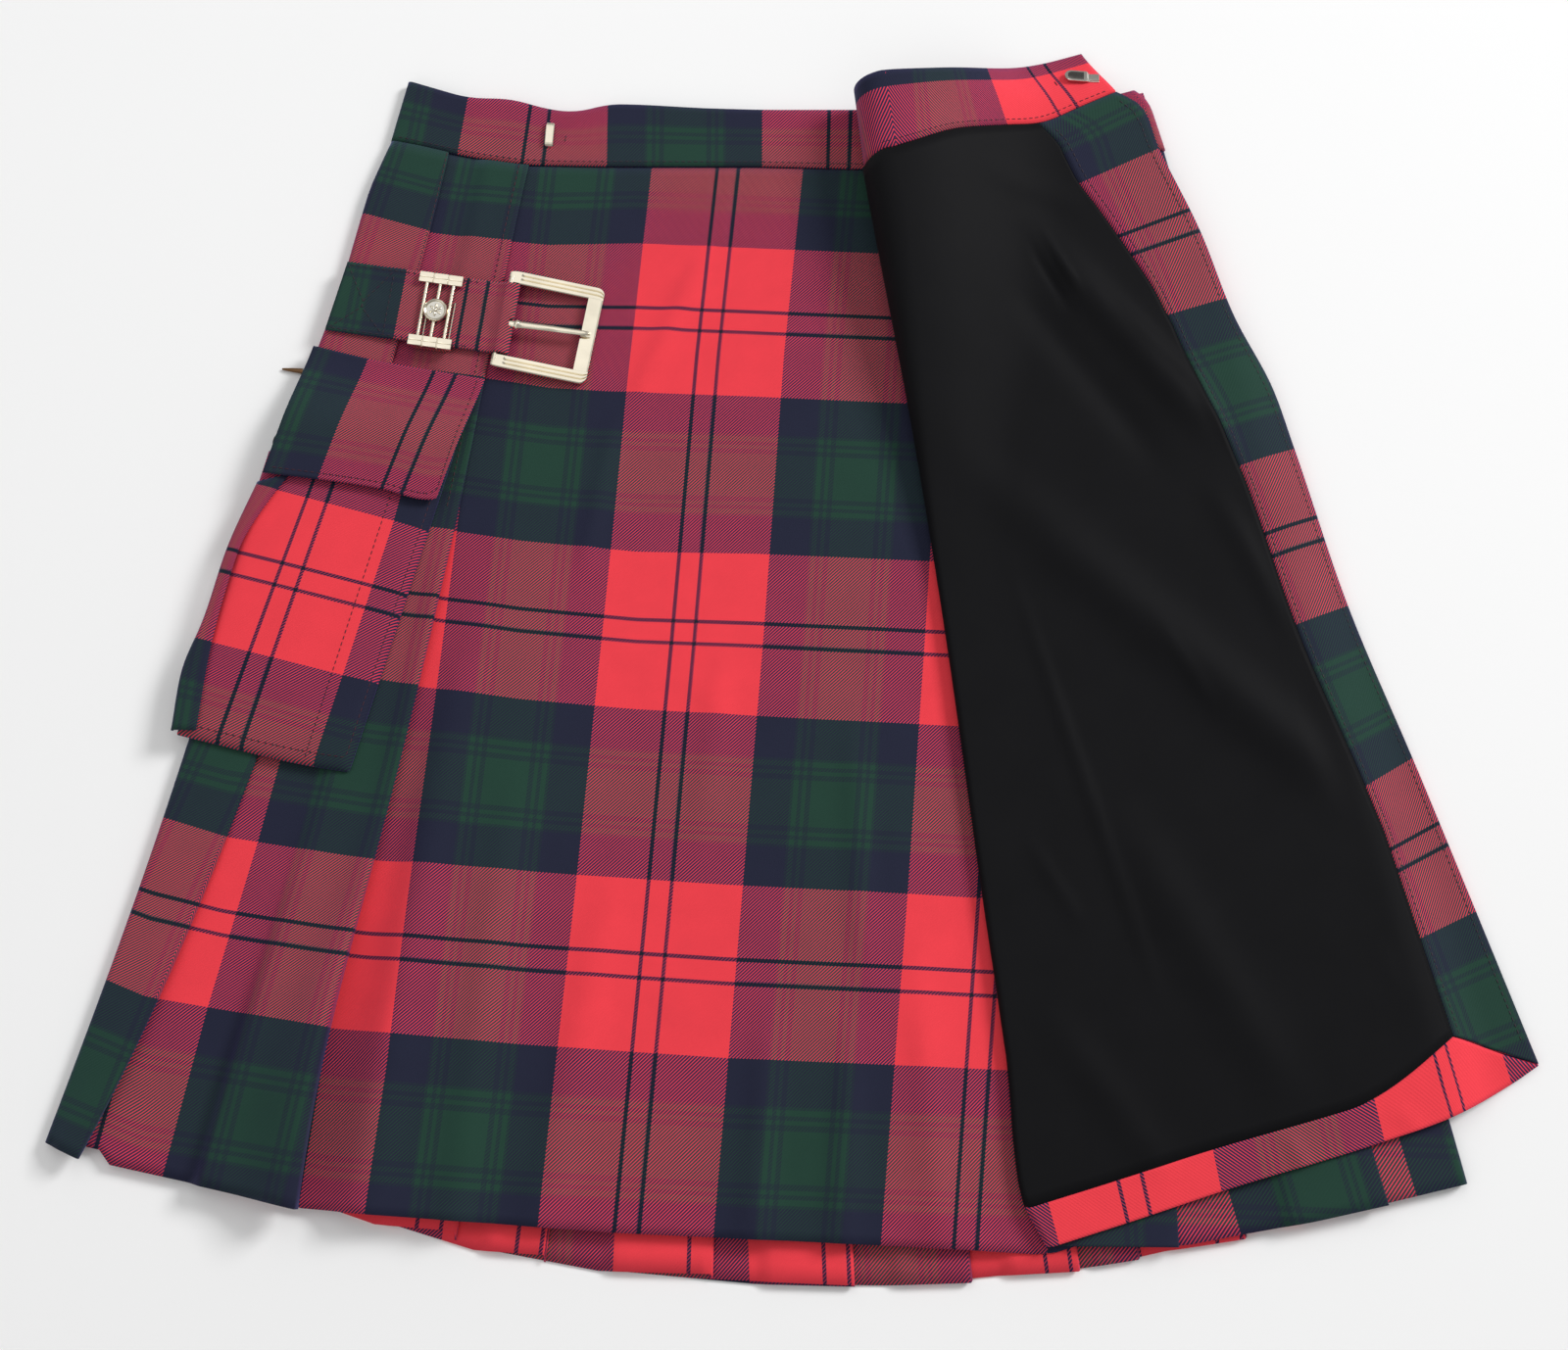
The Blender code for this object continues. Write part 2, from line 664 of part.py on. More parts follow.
def waistband_back(material):
    """The waistband across the back."""
    rows = []
    left_turn, right_turn = (UNDER_BAND - BACK_BAND) / 2, (OVER_BAND - BACK_BAND) / 2
    knots = band_knots(FRONT_SEAM[0][0] + left_turn + SEAM_GAP, FRONT_SEAM[-1][0] - right_turn - SEAM_GAP)
    shares = (np.array(knots) - knots[0]) / (knots[-1] - knots[0])
    for rise in band_rises():
        left, right = band_sides(rise)
        x = (left + left_turn + SEAM_GAP) * (1 - shares) + (right - right_turn - SEAM_GAP) * shares
        rows.append(band_row(rise, [(value, BACK_BAND) for value in x], FRONT_SEAM, FRONT_BAND_TOP))
    return sheet("waistband_back", rows, BAND_CLOTH, material)


def waistband_under_apron(material):
    """The waistband of the left side and the under apron."""
    rows = []
    turn = (UNDER_BAND - BACK_BAND) / 2
    for rise in band_rises():
        left, _ = band_sides(rise)
        section = arc(left + turn, BACK_BAND + turn, turn, 270, 90, ROLL_STEPS)
        section += [(x, UNDER_BAND) for x in band_knots(FRONT_SEAM[1][0], UNDER_APRON_END.waist)]
        rows.append(band_row(rise, section, FRONT_SEAM, FRONT_BAND_TOP))
    return sheet("waistband_under_apron", rows, BAND_CLOTH, material)


def waistband_over_apron(material):
    """The waistband of the right side and the over apron, turned back with it."""
    rows = []
    side_turn = (OVER_BAND - BACK_BAND) / 2
    lift = PLY / 2
    across = np.linspace(0, 1, LINING_STEPS)
    seam, top = open_plan(0.0, across), curve_through(OPEN_BAND_TOP, across)
    for rise in band_rises():
        _, right = band_sides(rise)
        side = arc(right - side_turn, BACK_BAND + side_turn, side_turn, -90, 90, ROLL_STEPS)
        front = side + [(x, OVER_BAND) for x in OVER_BAND_KNOTS]
        front = band_row(rise, front, FRONT_SEAM, FRONT_BAND_TOP)
        plan = seam + (top - seam) * rise + np.array([0, SEAM_GAP * (1 - rise)])
        from_fold = np.hypot(*(plan - plan[0]).T)
        z = open_height(0.0, plan, from_fold) + lift
        radius = (z[0] - OVER_BAND) / 2
        turn = np.array(arc(plan[0, 0], OVER_BAND + radius, radius, 270, 90, ROLL_STEPS))
        base = band_row(rise, [(plan[0, 0], OVER_BAND)], FRONT_SEAM, FRONT_BAND_TOP)[0, 1]
        y = np.linspace(base, plan[0, 1], ROLL_STEPS + 1)
        turned = np.column_stack([turn[:, 0], y, turn[:, 1]])
        rows.append(np.vstack([front, turned, np.column_stack([plan, z])[1:]]))
    return sheet("waistband_over_apron", rows, BAND_CLOTH, material)


def mesh_object(name, build, material, collection=PART):
    """An object from a bmesh that a function fills, in metres."""
    mesh = bpy.data.meshes.new(name)
    shape = bmesh.new()
    build(shape)
    bmesh.ops.recalc_face_normals(shape, faces=shape.faces)
    shape.to_mesh(mesh)
    shape.free()
    mesh.shade_smooth()
    mesh.set_sharp_from_angle(angle=math.radians(35))
    obj = link(bpy.data.objects.new(name, mesh), material, collection)
    if collection is CUTTERS:
        obj.hide_render = True
        obj.display_type = "WIRE"
    return obj


def box(shape, low, high):
    """A box between two corners in millimetres."""
    size = [(b - a) * MM for a, b in zip(low, high)]
    centre = [(a + b) / 2 * MM for a, b in zip(low, high)]
    matrix = Matrix.Translation(centre) @ Matrix.Diagonal((*size, 1))
    bmesh.ops.create_cube(shape, size=1.0, matrix=matrix)


def rod(shape, start, end, radius, end_radius=None, sides=12):
    """A cylinder or cone between two points in millimetres."""
    start, end = Vector(start) * MM, Vector(end) * MM
    turn = (end - start).to_track_quat("Z", "Y").to_matrix().to_4x4()
    matrix = Matrix.Translation((start + end) / 2) @ turn
    bmesh.ops.create_cone(
        shape, cap_ends=True, segments=sides, radius1=radius * MM,
        radius2=(radius if end_radius is None else end_radius) * MM,
        depth=(end - start).length, matrix=matrix,
    )


def join(obj, other, operation="UNION"):
    """A Boolean with a helper from the cutters' collection."""
    step = obj.modifiers.new(other.name, "BOOLEAN")
    step.operation = operation
    step.object = other
    return obj


def extruded(name, corners, along, material):
    """A solid from a closed outline of (x, y, z) corners, drawn out along a vector."""

    def build(shape):
        face = shape.faces.new([shape.verts.new(Vector(corner) * MM) for corner in corners])
        far = bmesh.ops.extrude_face_region(shape, geom=[face])["geom"]
        moved = [v for v in far if isinstance(v, bmesh.types.BMVert)]
        bmesh.ops.translate(shape, vec=Vector(along) * MM, verts=moved)

    return mesh_object(name, build, material)


def profiled(name, outline, width, material):
    """A bent strip: its side outline of (x, z) points, drawn out across its width along Y."""
    corners = [(x, -width / 2, z) for x, z in outline]
    return extruded(name, corners, (0, width, 0), material)


def strap_frame():
    """Matrix of the strap: X along it from its sewn end, Y across it, Z up."""
    run = Vector(STRAP_END) - Vector(STRAP_START)
    turn = Matrix.Rotation(math.atan2(run.y, run.x), 4, "Z")
    return Matrix.Translation((STRAP_START[0] * MM, STRAP_START[1] * MM, 0)) @ turn


def strap_length():
    """Length from the sewn end to the buckle's bar."""
    return math.dist(STRAP_START, STRAP_END)


def buckle_frame_matrix(tilt):
    """Matrix of the buckle: origin on its hinge bar, X along the buckle, Y along the bar."""
    place = Matrix.Translation((STRAP_END[0] * MM, STRAP_END[1] * MM, BAR_HEIGHT * MM))
    return place @ Matrix.Rotation(BUCKLE_TURN, 4, "Z") @ Matrix.Rotation(tilt, 4, "Y")


def side_strap(material):
    """The tartan strap: a double band on the fell, looped round the buckle's bar."""
    length = strap_length()
    bottom = [(0, FELL_TOP + AIR), (STRAP_SEWN, FELL_TOP + AIR)]
    bottom += [(STRAP_LIFTED, STRAP_LIFT), (length - STRAP_LOOP_START, STRAP_LIFT)]
    loop = arc(length, BAR_HEIGHT, LOOP_RADIUS, 235, 485, LOOP_STEPS)
    top = [(x, z + STRAP_THICK) for x, z in reversed(bottom)]

    def bore(shape):
        rod(shape, (0, -STRAP_WIDTH, 0), (0, STRAP_WIDTH, 0), LOOP_BORE, sides=16)

    def slot(shape):
        reach = 2 * LOOP_RADIUS
        box(shape, (-1.5 * LOOP_RADIUS, -PRONG_SLOT / 2, -reach), (reach, PRONG_SLOT / 2, reach))

    strap = profiled("side_strap", bottom + loop + top, STRAP_WIDTH, material)
    strap.matrix_world = strap_frame()
    for name, cutter in (("strap_bore", bore), ("strap_slot", slot)):
        tool = mesh_object(name, cutter, material, CUTTERS)
        tool.matrix_world = buckle_frame_matrix(0.0)
        join(strap, tool, "DIFFERENCE")
    return strap


def buckle_frame(material):
    """A three-sided frame with a round hinge bar across its open side."""
    inner, outer = BUCKLE_INNER, BUCKLE_INNER + BUCKLE_ARM
    start, reach, corner = -BAR_RADIUS, BUCKLE_REACH, BUCKLE_CORNER
    low_corner = arc(reach - corner, corner - outer, corner, -90, 0, CORNER_STEPS)
    high_corner = [(x, -y) for x, y in reversed(low_corner)]
    inside = reach - BUCKLE_END_BAR
    outline = [(start, -outer), *low_corner, *high_corner, (start, outer)]
    outline += [(start, inner), (inside, inner), (inside, -inner), (start, -inner)]
    corners = [(x, y, -BUCKLE_THICK / 2) for x, y in outline]
    frame = extruded("buckle_frame", corners, (0, 0, BUCKLE_THICK), material)
    bar_half = inner + BUCKLE_ARM / 2

    def bar(shape):
        rod(shape, (0, -bar_half, 0), (0, bar_half, 0), BAR_RADIUS)

    hinge_bar = mesh_object("buckle_bar", bar, material, CUTTERS)
    for obj in (frame, hinge_bar):
        obj.matrix_world = buckle_frame_matrix(BUCKLE_TILT)
    return join(frame, hinge_bar)


def buckle_prong(material):
    """A tapering prong with an eye round the hinge bar, its tip over the far bar."""
    half = PRONG_EYE / 2

    def eye(shape):
        rod(shape, (0, -half, 0), (0, half, 0), LOOP_RADIUS, sides=16)

    def shaft(shape):
        start = (LOOP_BORE + PRONG_RAISE / 2, 0, PRONG_RAISE)
        rod(shape, start, (PRONG_LENGTH, 0, PRONG_RAISE), PRONG_RADIUS, PRONG_TIP_RADIUS, sides=10)

    def bore(shape):
        rod(shape, (0, -PRONG_EYE, 0), (0, PRONG_EYE, 0), LOOP_BORE, sides=16)

    prong = mesh_object("buckle_prong", eye, material)
    arm = mesh_object("prong_shaft", shaft, material, CUTTERS)
    hole = mesh_object("prong_bore", bore, material, CUTTERS)
    for obj in (prong, arm, hole):
        obj.matrix_world = buckle_frame_matrix(BUCKLE_TILT - PRONG_LIFT)
    join(prong, arm)
    return join(prong, hole, "DIFFERENCE")


def strap_keeper(material):
    """An open-work slider on the strap: two end blocks, three bars and a plain medallion."""
    half = KEEPER_LENGTH / 2
    side = STRAP_WIDTH / 2 + AIR
    outer = side + KEEPER_WALL
    top = STRAP_LIFT + STRAP_THICK + AIR
    bottom = FELL_TOP + AIR
    bar_z = top + KEEPER_BLOCK_THICK / 2

    inset = half - KEEPER_INSET

    def plate(shape):
        box(shape, (-inset, -outer, bottom), (inset, outer, bottom + KEEPER_PLATE))

    def medallion(shape):
        base, crown = (0, 0, bar_z - MEDALLION_SUNK), (0, 0, bar_z + MEDALLION_THICK)
        rod(shape, base, crown, MEDALLION_RADIUS, MEDALLION_CROWN, 24)

    def piece(low, high):
        return lambda shape: box(shape, low, high)

    def bar(x):
        reach = outer - KEEPER_BLOCK / 3
        return lambda shape: rod(shape, (x, -reach, bar_z), (x, reach, bar_z), KEEPER_BAR_RADIUS, sides=8)

    keeper = mesh_object("strap_keeper", plate, material)
    parts = [("keeper_medallion", medallion)]
    block_top = top + KEEPER_BLOCK_THICK
    for sign, word in ((1, "high"), (-1, "low")):
        wall = sorted((sign * side, sign * outer))
        block = sorted((sign * (outer - KEEPER_BLOCK), sign * outer))
        upright = piece((-inset, wall[0], bottom), (inset, wall[1], bar_z))
        parts.append((f"keeper_wall_{word}", upright))
        parts.append((f"keeper_block_{word}", piece((-half, block[0], top), (half, block[1], block_top))))
    for index, x in enumerate((-KEEPER_BAR_GAP, 0.0, KEEPER_BAR_GAP)):
        parts.append((f"keeper_bar_{index}", bar(x)))
    place = strap_frame() @ Matrix.Translation((KEEPER_ALONG * MM, 0, 0))
    keeper.matrix_world = place
    for name, build in parts:
        helper = mesh_object(name, build, material, CUTTERS)
        helper.matrix_world = place
        join(keeper, helper)
    return keeper


def pocket_body(material):
    """The pocket's raised front panel, turned down at its sides and bottom."""
    rows = []
    base = FELL_TOP + AIR + POCKET_WALL / 2
    over = np.array(POCKET_ACROSS)
    for drop in POCKET_DOWN:
        upper, lower = curve_through(POCKET_TOP, over), curve_through(POCKET_LOW, over)
        plan = upper + (lower - upper) * drop
        width = np.hypot(*(plan[-1] - plan[0]))
        height = np.hypot(*(lower[0] - upper[0]))
        side = np.minimum(over, 1 - over) * width / POCKET_ROUND
        end = (1 - drop) * height / POCKET_ROUND
        rise = np.sqrt(1 - (1 - np.clip(side, 0, 1)) ** 2) * math.sqrt(1 - (1 - min(end, 1)) ** 2)
        bulge = POCKET_BULGE * np.sin(np.pi * over) * math.sin(math.pi * drop)
        rows.append(np.column_stack([plan, base + POCKET_RISE * rise + bulge]))
    return sheet("pocket_body", rows, POCKET_WALL, material)


def pocket_side_fold(material):
    """The bellows fold that laps over the pocket's left edge and rounds the side."""
    rows = []
    top = FELL_TOP + AIR + POCKET_WALL + POCKET_RISE + POCKET_BULGE + AIR
    turn = SIDE_FOLD_TURN
    for drop in np.linspace(0, 1, SIDE_FOLD_STATIONS):
        left = curve_through(SIDE_FOLD_LEFT, drop)[0]
        right = curve_through(SIDE_FOLD_RIGHT, drop)[0]
        run = (right - left) / np.hypot(*(right - left))
        section = arc(turn, top - turn, turn, 190, 90, CORNER_STEPS)
        reach = np.hypot(*(right - left))
        section += [(turn + (reach - turn) / 2, top + SIDE_FOLD_PUFF), (reach, top)]
        rows.append([(*(left + run * x), z) for x, z in section])
    return sheet("pocket_side_fold", rows, POCKET_WALL, material)


def flap_height():
    """Height of the flap's middle where it lies over the pocket."""
    pocket = FELL_TOP + AIR + POCKET_WALL + POCKET_RISE + POCKET_BULGE
    return pocket + POCKET_WALL + 3 * AIR + FLAP_WALL / 2


def pocket_flap(material):
    """The flap: sewn along its top, lying over the pocket's mouth."""
    rows = []
    start = FELL_TOP + AIR + FLAP_WALL / 2
    over_pocket = flap_height()
    across = np.linspace(0, 1, FLAP_STATIONS)
    for drop in np.linspace(0, 1, FLAP_STATIONS):
        upper, lower = curve_through(FLAP_TOP, across), curve_through(FLAP_LOW, across)
        plan = upper + (lower - upper) * drop
        z = np.full(len(across), start + (over_pocket - start) * smoothstep(drop / FLAP_SETTLES))
        rows.append(np.column_stack([plan, z]))
    return sheet("pocket_flap", rows, FLAP_WALL, material)


def flap_snap(material):
    """A press stud that fastens the flap's left end, its rim past the edge."""
    z = flap_height() - FLAP_WALL / 2 - AIR - SNAP_THICK
    place = Matrix.Translation((SNAP_AT[0] * MM, SNAP_AT[1] * MM, z * MM))

    def stud(shape):
        rod(shape, (0, 0, 0), (0, 0, SNAP_THICK), SNAP_RADIUS, SNAP_CROWN, 24)

    snap = mesh_object("flap_snap", stud, material)
    snap.matrix_world = place
    return snap


def spare_prong(material):
    """The pointed tip of the hidden strap's prong, showing past the left side."""
    radius, point = SPARE_PRONG_RADIUS, SPARE_PRONG_POINT

    def shaft(shape):
        root, tip = (*SPARE_PRONG_ROOT, AIR + radius), (*SPARE_PRONG_TIP, AIR + point)
        rod(shape, root, tip, radius, point, 10)

    return mesh_object("hidden_strap_prong", shaft, material)


def waistband_eye(material):
    """The eye that the hook catches: a flat bar on two feet."""
    half = EYE_BAR_LENGTH / 2
    low = UNDER_BAND + BAND_CLOTH / 2 + AIR
    foot, leg, clear, top = half - EYE_FOOT, half - EYE_LEG, low + EYE_CLEAR, low + EYE_RISE
    outline = [(-half, low), (-foot, low), (-leg, clear), (leg, clear)]
    outline += [(foot, low), (half, low), (half - EYE_TAPER, top), (EYE_TAPER - half, top)]
    eye = profiled("waistband_eye", outline, EYE_BAR_WIDTH, material)
    place = Matrix.Translation((EYE_BAR_AT[0] * MM, EYE_BAR_AT[1] * MM, 0))
    eye.matrix_world = place @ Matrix.Rotation(EYE_BAR_TURN, 4, "Z")
    return eye


def open_band_top(x, y):
    """Height of the opened waistband's upper face, away from its roll."""
    away = SETTLE_BASE + SETTLE_PER_RADIUS * ROLL_AT_WAIST
    return float(open_height(0.0, np.array([[x, y]]), away)[0]) + PLY / 2 + BAND_CLOTH / 2


def waistband_hook(material):
    """The hook: a flat plate whose end is bent back over itself, lying on the slope of the band."""
    half, width = HOOK_LENGTH / 2, HOOK_WIDTH / 2
    plate, top = HOOK_PLATE, 2 * HOOK_PLATE + HOOK_GAP
    mouth, inside = HOOK_MOUTH - half, half - HOOK_BEND
    outline = [(-half, 0), (half, 0), (half + plate, top / 2), (half, top), (mouth, top)]
    outline += [(mouth, top - plate), (inside, top - plate), (inside, plate), (-half, plate)]
    x, y = HOOK_AT
    rise_x = (open_band_top(x + width, y) - open_band_top(x - width, y)) / (2 * width)
    rise_y = (open_band_top(x, y + width) - open_band_top(x, y - width)) / (2 * width)
    upright = Vector((-rise_x, -rise_y, 1)).normalized()
    lean = Vector((0, 0, 1)).rotation_difference(upright).to_matrix().to_4x4()
    place = Matrix.Translation((x * MM, y * MM, (open_band_top(x, y) + HOOK_SEAT) * MM))
    hook = profiled("waistband_hook", outline, HOOK_WIDTH, material)
    hook.matrix_world = place @ lean @ Matrix.Rotation(HOOK_TURN, 4, "Z")
    return hook


def main():
    """Builds the kilt from the back up."""
    clear_scene()
    tartan = finish("tartan", (0.36, 0.05, 0.08), 0.85)
    lining = finish("black_lining", (0.012, 0.012, 0.014), 0.7)
    metal = finish("polished_metal", (0.83, 0.80, 0.74), 0.2, 1.0)
    bronze = finish("bronze_metal", (0.36, 0.25, 0.16), 0.35, 1.0)
    stud = finish("black_stud", (0.02, 0.02, 0.022), 0.35)
    for build in (
        back_pleats, left_side_pleats, under_apron, right_side_pleats, over_apron,
        over_apron_edge_facing, over_apron_hem_facing, waistband_back, waistband_under_apron,
        waistband_over_apron, side_strap, pocket_body, pocket_side_fold, pocket_flap,
    ):
        build(tartan)
    over_apron_lining(lining)
    for build in (buckle_frame, buckle_prong, strap_keeper, waistband_eye, waistband_hook):
        build(metal)
    spare_prong(bronze)
    flap_snap(stud)


main()
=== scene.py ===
"""Looks of a knife-pleated tartan kilt, laid flat with its lined over apron folded open.

Plan tables are in millimetres: X to the viewer's right, Y from hem to waist, Z up from the surface.
"""

import logging
import math
from dataclasses import dataclass, field
from enum import Enum
from typing import Callable, Mapping, NamedTuple, Optional, Sequence

import bmesh
import bpy
import numpy as np
from mathutils import Matrix, Vector

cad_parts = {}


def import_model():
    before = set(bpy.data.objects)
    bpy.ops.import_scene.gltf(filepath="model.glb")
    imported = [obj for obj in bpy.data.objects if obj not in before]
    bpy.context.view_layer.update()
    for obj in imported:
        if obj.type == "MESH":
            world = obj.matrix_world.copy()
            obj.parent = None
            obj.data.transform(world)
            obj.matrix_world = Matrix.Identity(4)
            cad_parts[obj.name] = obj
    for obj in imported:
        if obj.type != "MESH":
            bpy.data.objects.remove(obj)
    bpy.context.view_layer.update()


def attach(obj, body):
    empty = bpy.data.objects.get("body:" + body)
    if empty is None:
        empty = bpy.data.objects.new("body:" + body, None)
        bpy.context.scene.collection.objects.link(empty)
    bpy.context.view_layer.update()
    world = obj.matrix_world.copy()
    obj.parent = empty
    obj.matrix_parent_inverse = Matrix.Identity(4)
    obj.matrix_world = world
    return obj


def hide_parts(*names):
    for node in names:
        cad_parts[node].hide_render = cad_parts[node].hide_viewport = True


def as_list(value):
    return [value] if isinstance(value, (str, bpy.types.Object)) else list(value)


LOG = logging.getLogger("kilt")
MM = 0.001
SETT = 174.0
CLIMB_POINTS = 5
FACE_POINTS = 13
DOWN_STEPS = 90
Points = Sequence[tuple]
Lines = Mapping[float, Points]
Array, Finish = np.ndarray, bpy.types.Material
Piece, Socket = bpy.types.Object, bpy.types.NodeSocket


class Body(Enum):
    """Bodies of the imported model."""

    KILT = "kilt"
    BUCKLE = "buckle"
    PRONG = "prong"


class Slot(Enum):
    """Material slots of the record."""

    TARTAN = "tartan"
    LINING = "lining"
    METAL = "polished_metal"
    BRONZE = "bronze"
    STUD = "stud"


class Rib(NamedTuple):
    """x of a line down the cloth at each quarter of the drop."""

    waist: float
    upper: float
    middle: float
    lower: float
    hem: float


class Crease(NamedTuple):
    """A soft ridge (or trough, if its height is negative) from one plan point to another."""

    x0: float
    y0: float
    x1: float
    y1: float
    half_width: float
    height: float


class BackPleat(NamedTuple):
    """An inner fold of the back: its x at the waist and the hem, and the sett place at its edge."""

    waist: float
    hem: float
    sett: float


def smoothstep(value: Array) -> Array:
    """0 below 0, 1 above 1 and a smooth climb between."""
    value = np.clip(value, 0.0, 1.0)
    return value * value * (3 - 2 * value)


def eased(value: float) -> float:
    """One smoothstep value."""
    return float(smoothstep(value))


def along(table: Points, x: Array) -> Array:
    """Reads y of a table of (x, y) points, carrying its end slopes on beyond its ends.

    Args:
        table: points sorted by x.
        x: where to read.

    Returns:
        y at each x.
    """
    knots = np.asarray(table, float)
    x = np.asarray(x, float)
    cell = np.clip(np.searchsorted(knots[:, 0], x) - 1, 0, len(knots) - 2)
    low, high = knots[cell], knots[cell + 1]
    return low[..., 1] + (x - low[..., 0]) / (high[..., 0] - low[..., 0]) * (high[..., 1] - low[..., 1])


def clamped(table: Points, x: Array) -> Array:
    """Reads y of a table of (x, y) points, level beyond its ends."""
    knots = np.asarray(table, float)
    return np.interp(x, knots[:, 0], knots[:, 1])


def run_length(points: Array) -> Array:
    """Length of the way from the first point to each one."""
    return np.concatenate([[0], np.cumsum(np.sqrt((np.diff(points, axis=0) ** 2).sum(1)))])


def round_about(count: int) -> list:
    """(cos, sin) of even angles round a circle."""
    return [(math.cos(a), math.sin(a)) for a in np.linspace(0, 2 * math.pi, count, endpoint=False)]


def moved(x: float, y: float = 0.0, z: float = 0.0) -> Matrix:
    """A shift in millimetres."""
    return Matrix.Translation((x * MM, y * MM, z * MM))


def turned(angle: float, axis: str = "Z") -> Matrix:
    """A turn about an axis, in degrees."""
    return Matrix.Rotation(math.radians(angle), 4, axis)


def new_object(name: str, data: bpy.types.ID) -> Piece:
    """Makes an object and puts it in the scene.

    Args:
        name: its name.
        data: its mesh, light or camera.

    Returns:
        The object.
    """
    obj = bpy.data.objects.new(name, data)
    bpy.context.scene.collection.objects.link(obj)
    return obj


def flat_ring(x: float, half: float, cut: float, crown: float, edge: float, foot: float) -> list:
    """A ring across a flat bar whose upper corners are cut."""
    upper = [(x, -half, edge), (x, cut - half, crown), (x, half - cut, crown), (x, half, edge)]
    return [*upper, (x, half, foot), (x, -half, foot)]


def curve_through(points: Points, where: Array) -> Array:
    """A smooth curve through plan points, read at shares of its length.

    Args:
        points: (x, y) points in order.
        where: shares from 0 to 1.

    Returns:
        One point for each share.
    """
    knot = np.asarray(points, float)
    steps = np.hypot(*np.diff(knot, axis=0).T)
    share = np.concatenate([[0], np.cumsum(steps)]) / steps.sum()
    slopes = np.gradient(knot, share, axis=0)
    where = np.clip(np.atleast_1d(where), 0, 1)
    cell = np.clip(np.searchsorted(share, where, side="right") - 1, 0, len(share) - 2)
    width = (share[cell + 1] - share[cell])[:, None]
    t = (where[:, None] - share[cell][:, None]) / width
    return (
        (2 * t**3 - 3 * t**2 + 1) * knot[cell]
        + (t**3 - 2 * t**2 + t) * slopes[cell] * width
        + (3 * t**2 - 2 * t**3) * knot[cell + 1]
        + (t**3 - t**2) * slopes[cell + 1] * width
    )


def arc(x: float, z: float, radius: float, start: float, end: float, steps: int) -> list:
    """Points (x, z) on an arc, from one angle to another in degrees."""
    angles = np.radians(np.linspace(start, end, steps + 1))
    return [(x + radius * math.cos(a), z + radius * math.sin(a)) for a in angles]


def ridge(creases: Sequence[Crease], x: Array, y: Array) -> Array:
    """Height that soft folds add at plan points.

    Args:
        creases: the folds.
        x: plan x of each point.
        y: plan y of each point.

    Returns:
        The height of each point.
    """
    total = np.zeros_like(np.asarray(x, float))
    for fold in creases:
        run = np.array([fold.x1 - fold.x0, fold.y1 - fold.y0], float)
        length = np.hypot(*run)
        share = ((x - fold.x0) * run[0] + (y - fold.y0) * run[1]) / length**2
        aside = ((x - fold.x0) * run[1] - (y - fold.y0) * run[0]) / length
        grow = smoothstep(share / 0.5) * smoothstep((1.25 - share) / 0.35)
        total += fold.height * grow * np.exp(-((aside / fold.half_width) ** 2))
    return total


def swell(x: Array, edge: float, height: float) -> Array:
    """Rise of the cloth right of a pleat's edge: a valley beside it, a soft crest, then a slow fall."""
    x = np.asarray(x, float)
    return height * smoothstep((x - edge) / 30.0) * (1 - 0.6 * smoothstep((x - edge - 42.0) / 70.0))


@dataclass(frozen=True)
class Checks:
    """Where the tartan's checks lie on a stretch of cloth: plan points of its lines, by place in the sett."""

    columns: Lines = field(default_factory=dict)
    rows: Lines = field(default_factory=dict)

    @staticmethod
    def _read(value: Array, marks: Array, lines: Lines) -> Array:
        """Sett places of values on scales whose marks differ from point to point.

        Args:
            value: the values.
            marks: marks of each line at each value.
            lines: the lines.

        Returns:
            The places.
        """
        setts = np.array(list(lines))
        cell = np.clip((value[None] > marks).sum(0) - 1, 0, len(setts) - 2)
        pick = np.arange(len(value))
        low, high = marks[cell, pick], marks[cell + 1, pick]
        return setts[cell] + (value - low) / (high - low) * (setts[cell + 1] - setts[cell])

    def across(self, points: Array) -> Array:
        """Place in the sett across the cloth at plan points, read between the columns."""
        marks = np.array([along(sorted((b, a) for a, b in line), points[:, 1]) for line in self.columns.values()])
        return self._read(points[:, 0], marks, self.columns)

    def down(self, points: Array) -> Array:
        """Place in the sett down the cloth at plan points, read between the rows."""
        marks = -np.array([along(sorted(line), points[:, 0]) for line in self.rows.values()])
        return self._read(-points[:, 1], marks, self.rows)

    def weave(self, points: Array) -> Array:
        """Both places in the sett at plan points."""
        return np.column_stack([self.across(points), self.down(points)])


FRONT_ROWS = {
    -0.5: ((-228, 322), (-196, 313), (-164, 309), (-132, 306), (-84, 307), (28, 302)),
    0.0: ((-228, 238), (-196, 229), (-164, 225), (-132, 222), (-84, 223), (28, 218)),
    0.5: ((-228, 155), (-162, 146), (-130, 141), (-99, 139), (-20, 136), (43, 133)),
    1.0: ((-225, 68), (-176, 61), (-144, 56), (-82, 50), (-20, 49), (74, 45)),
    1.5: ((-300, -4), (-199, -22), (-142, -30), (-81, -35), (27, -41), (73, -43)),
    2.0: ((-325, -92), (-293, -102), (-217, -114), (-140, -120), (-34, -127), (87, -133)),
    2.5: ((-351, -175), (-329, -184), (-233, -200), (-139, -208), (-34, -215), (86, -220)),
    3.0: ((-351, -276), (-329, -284), (-233, -299), (-139, -306), (-34, -311), (86, -316)),
}
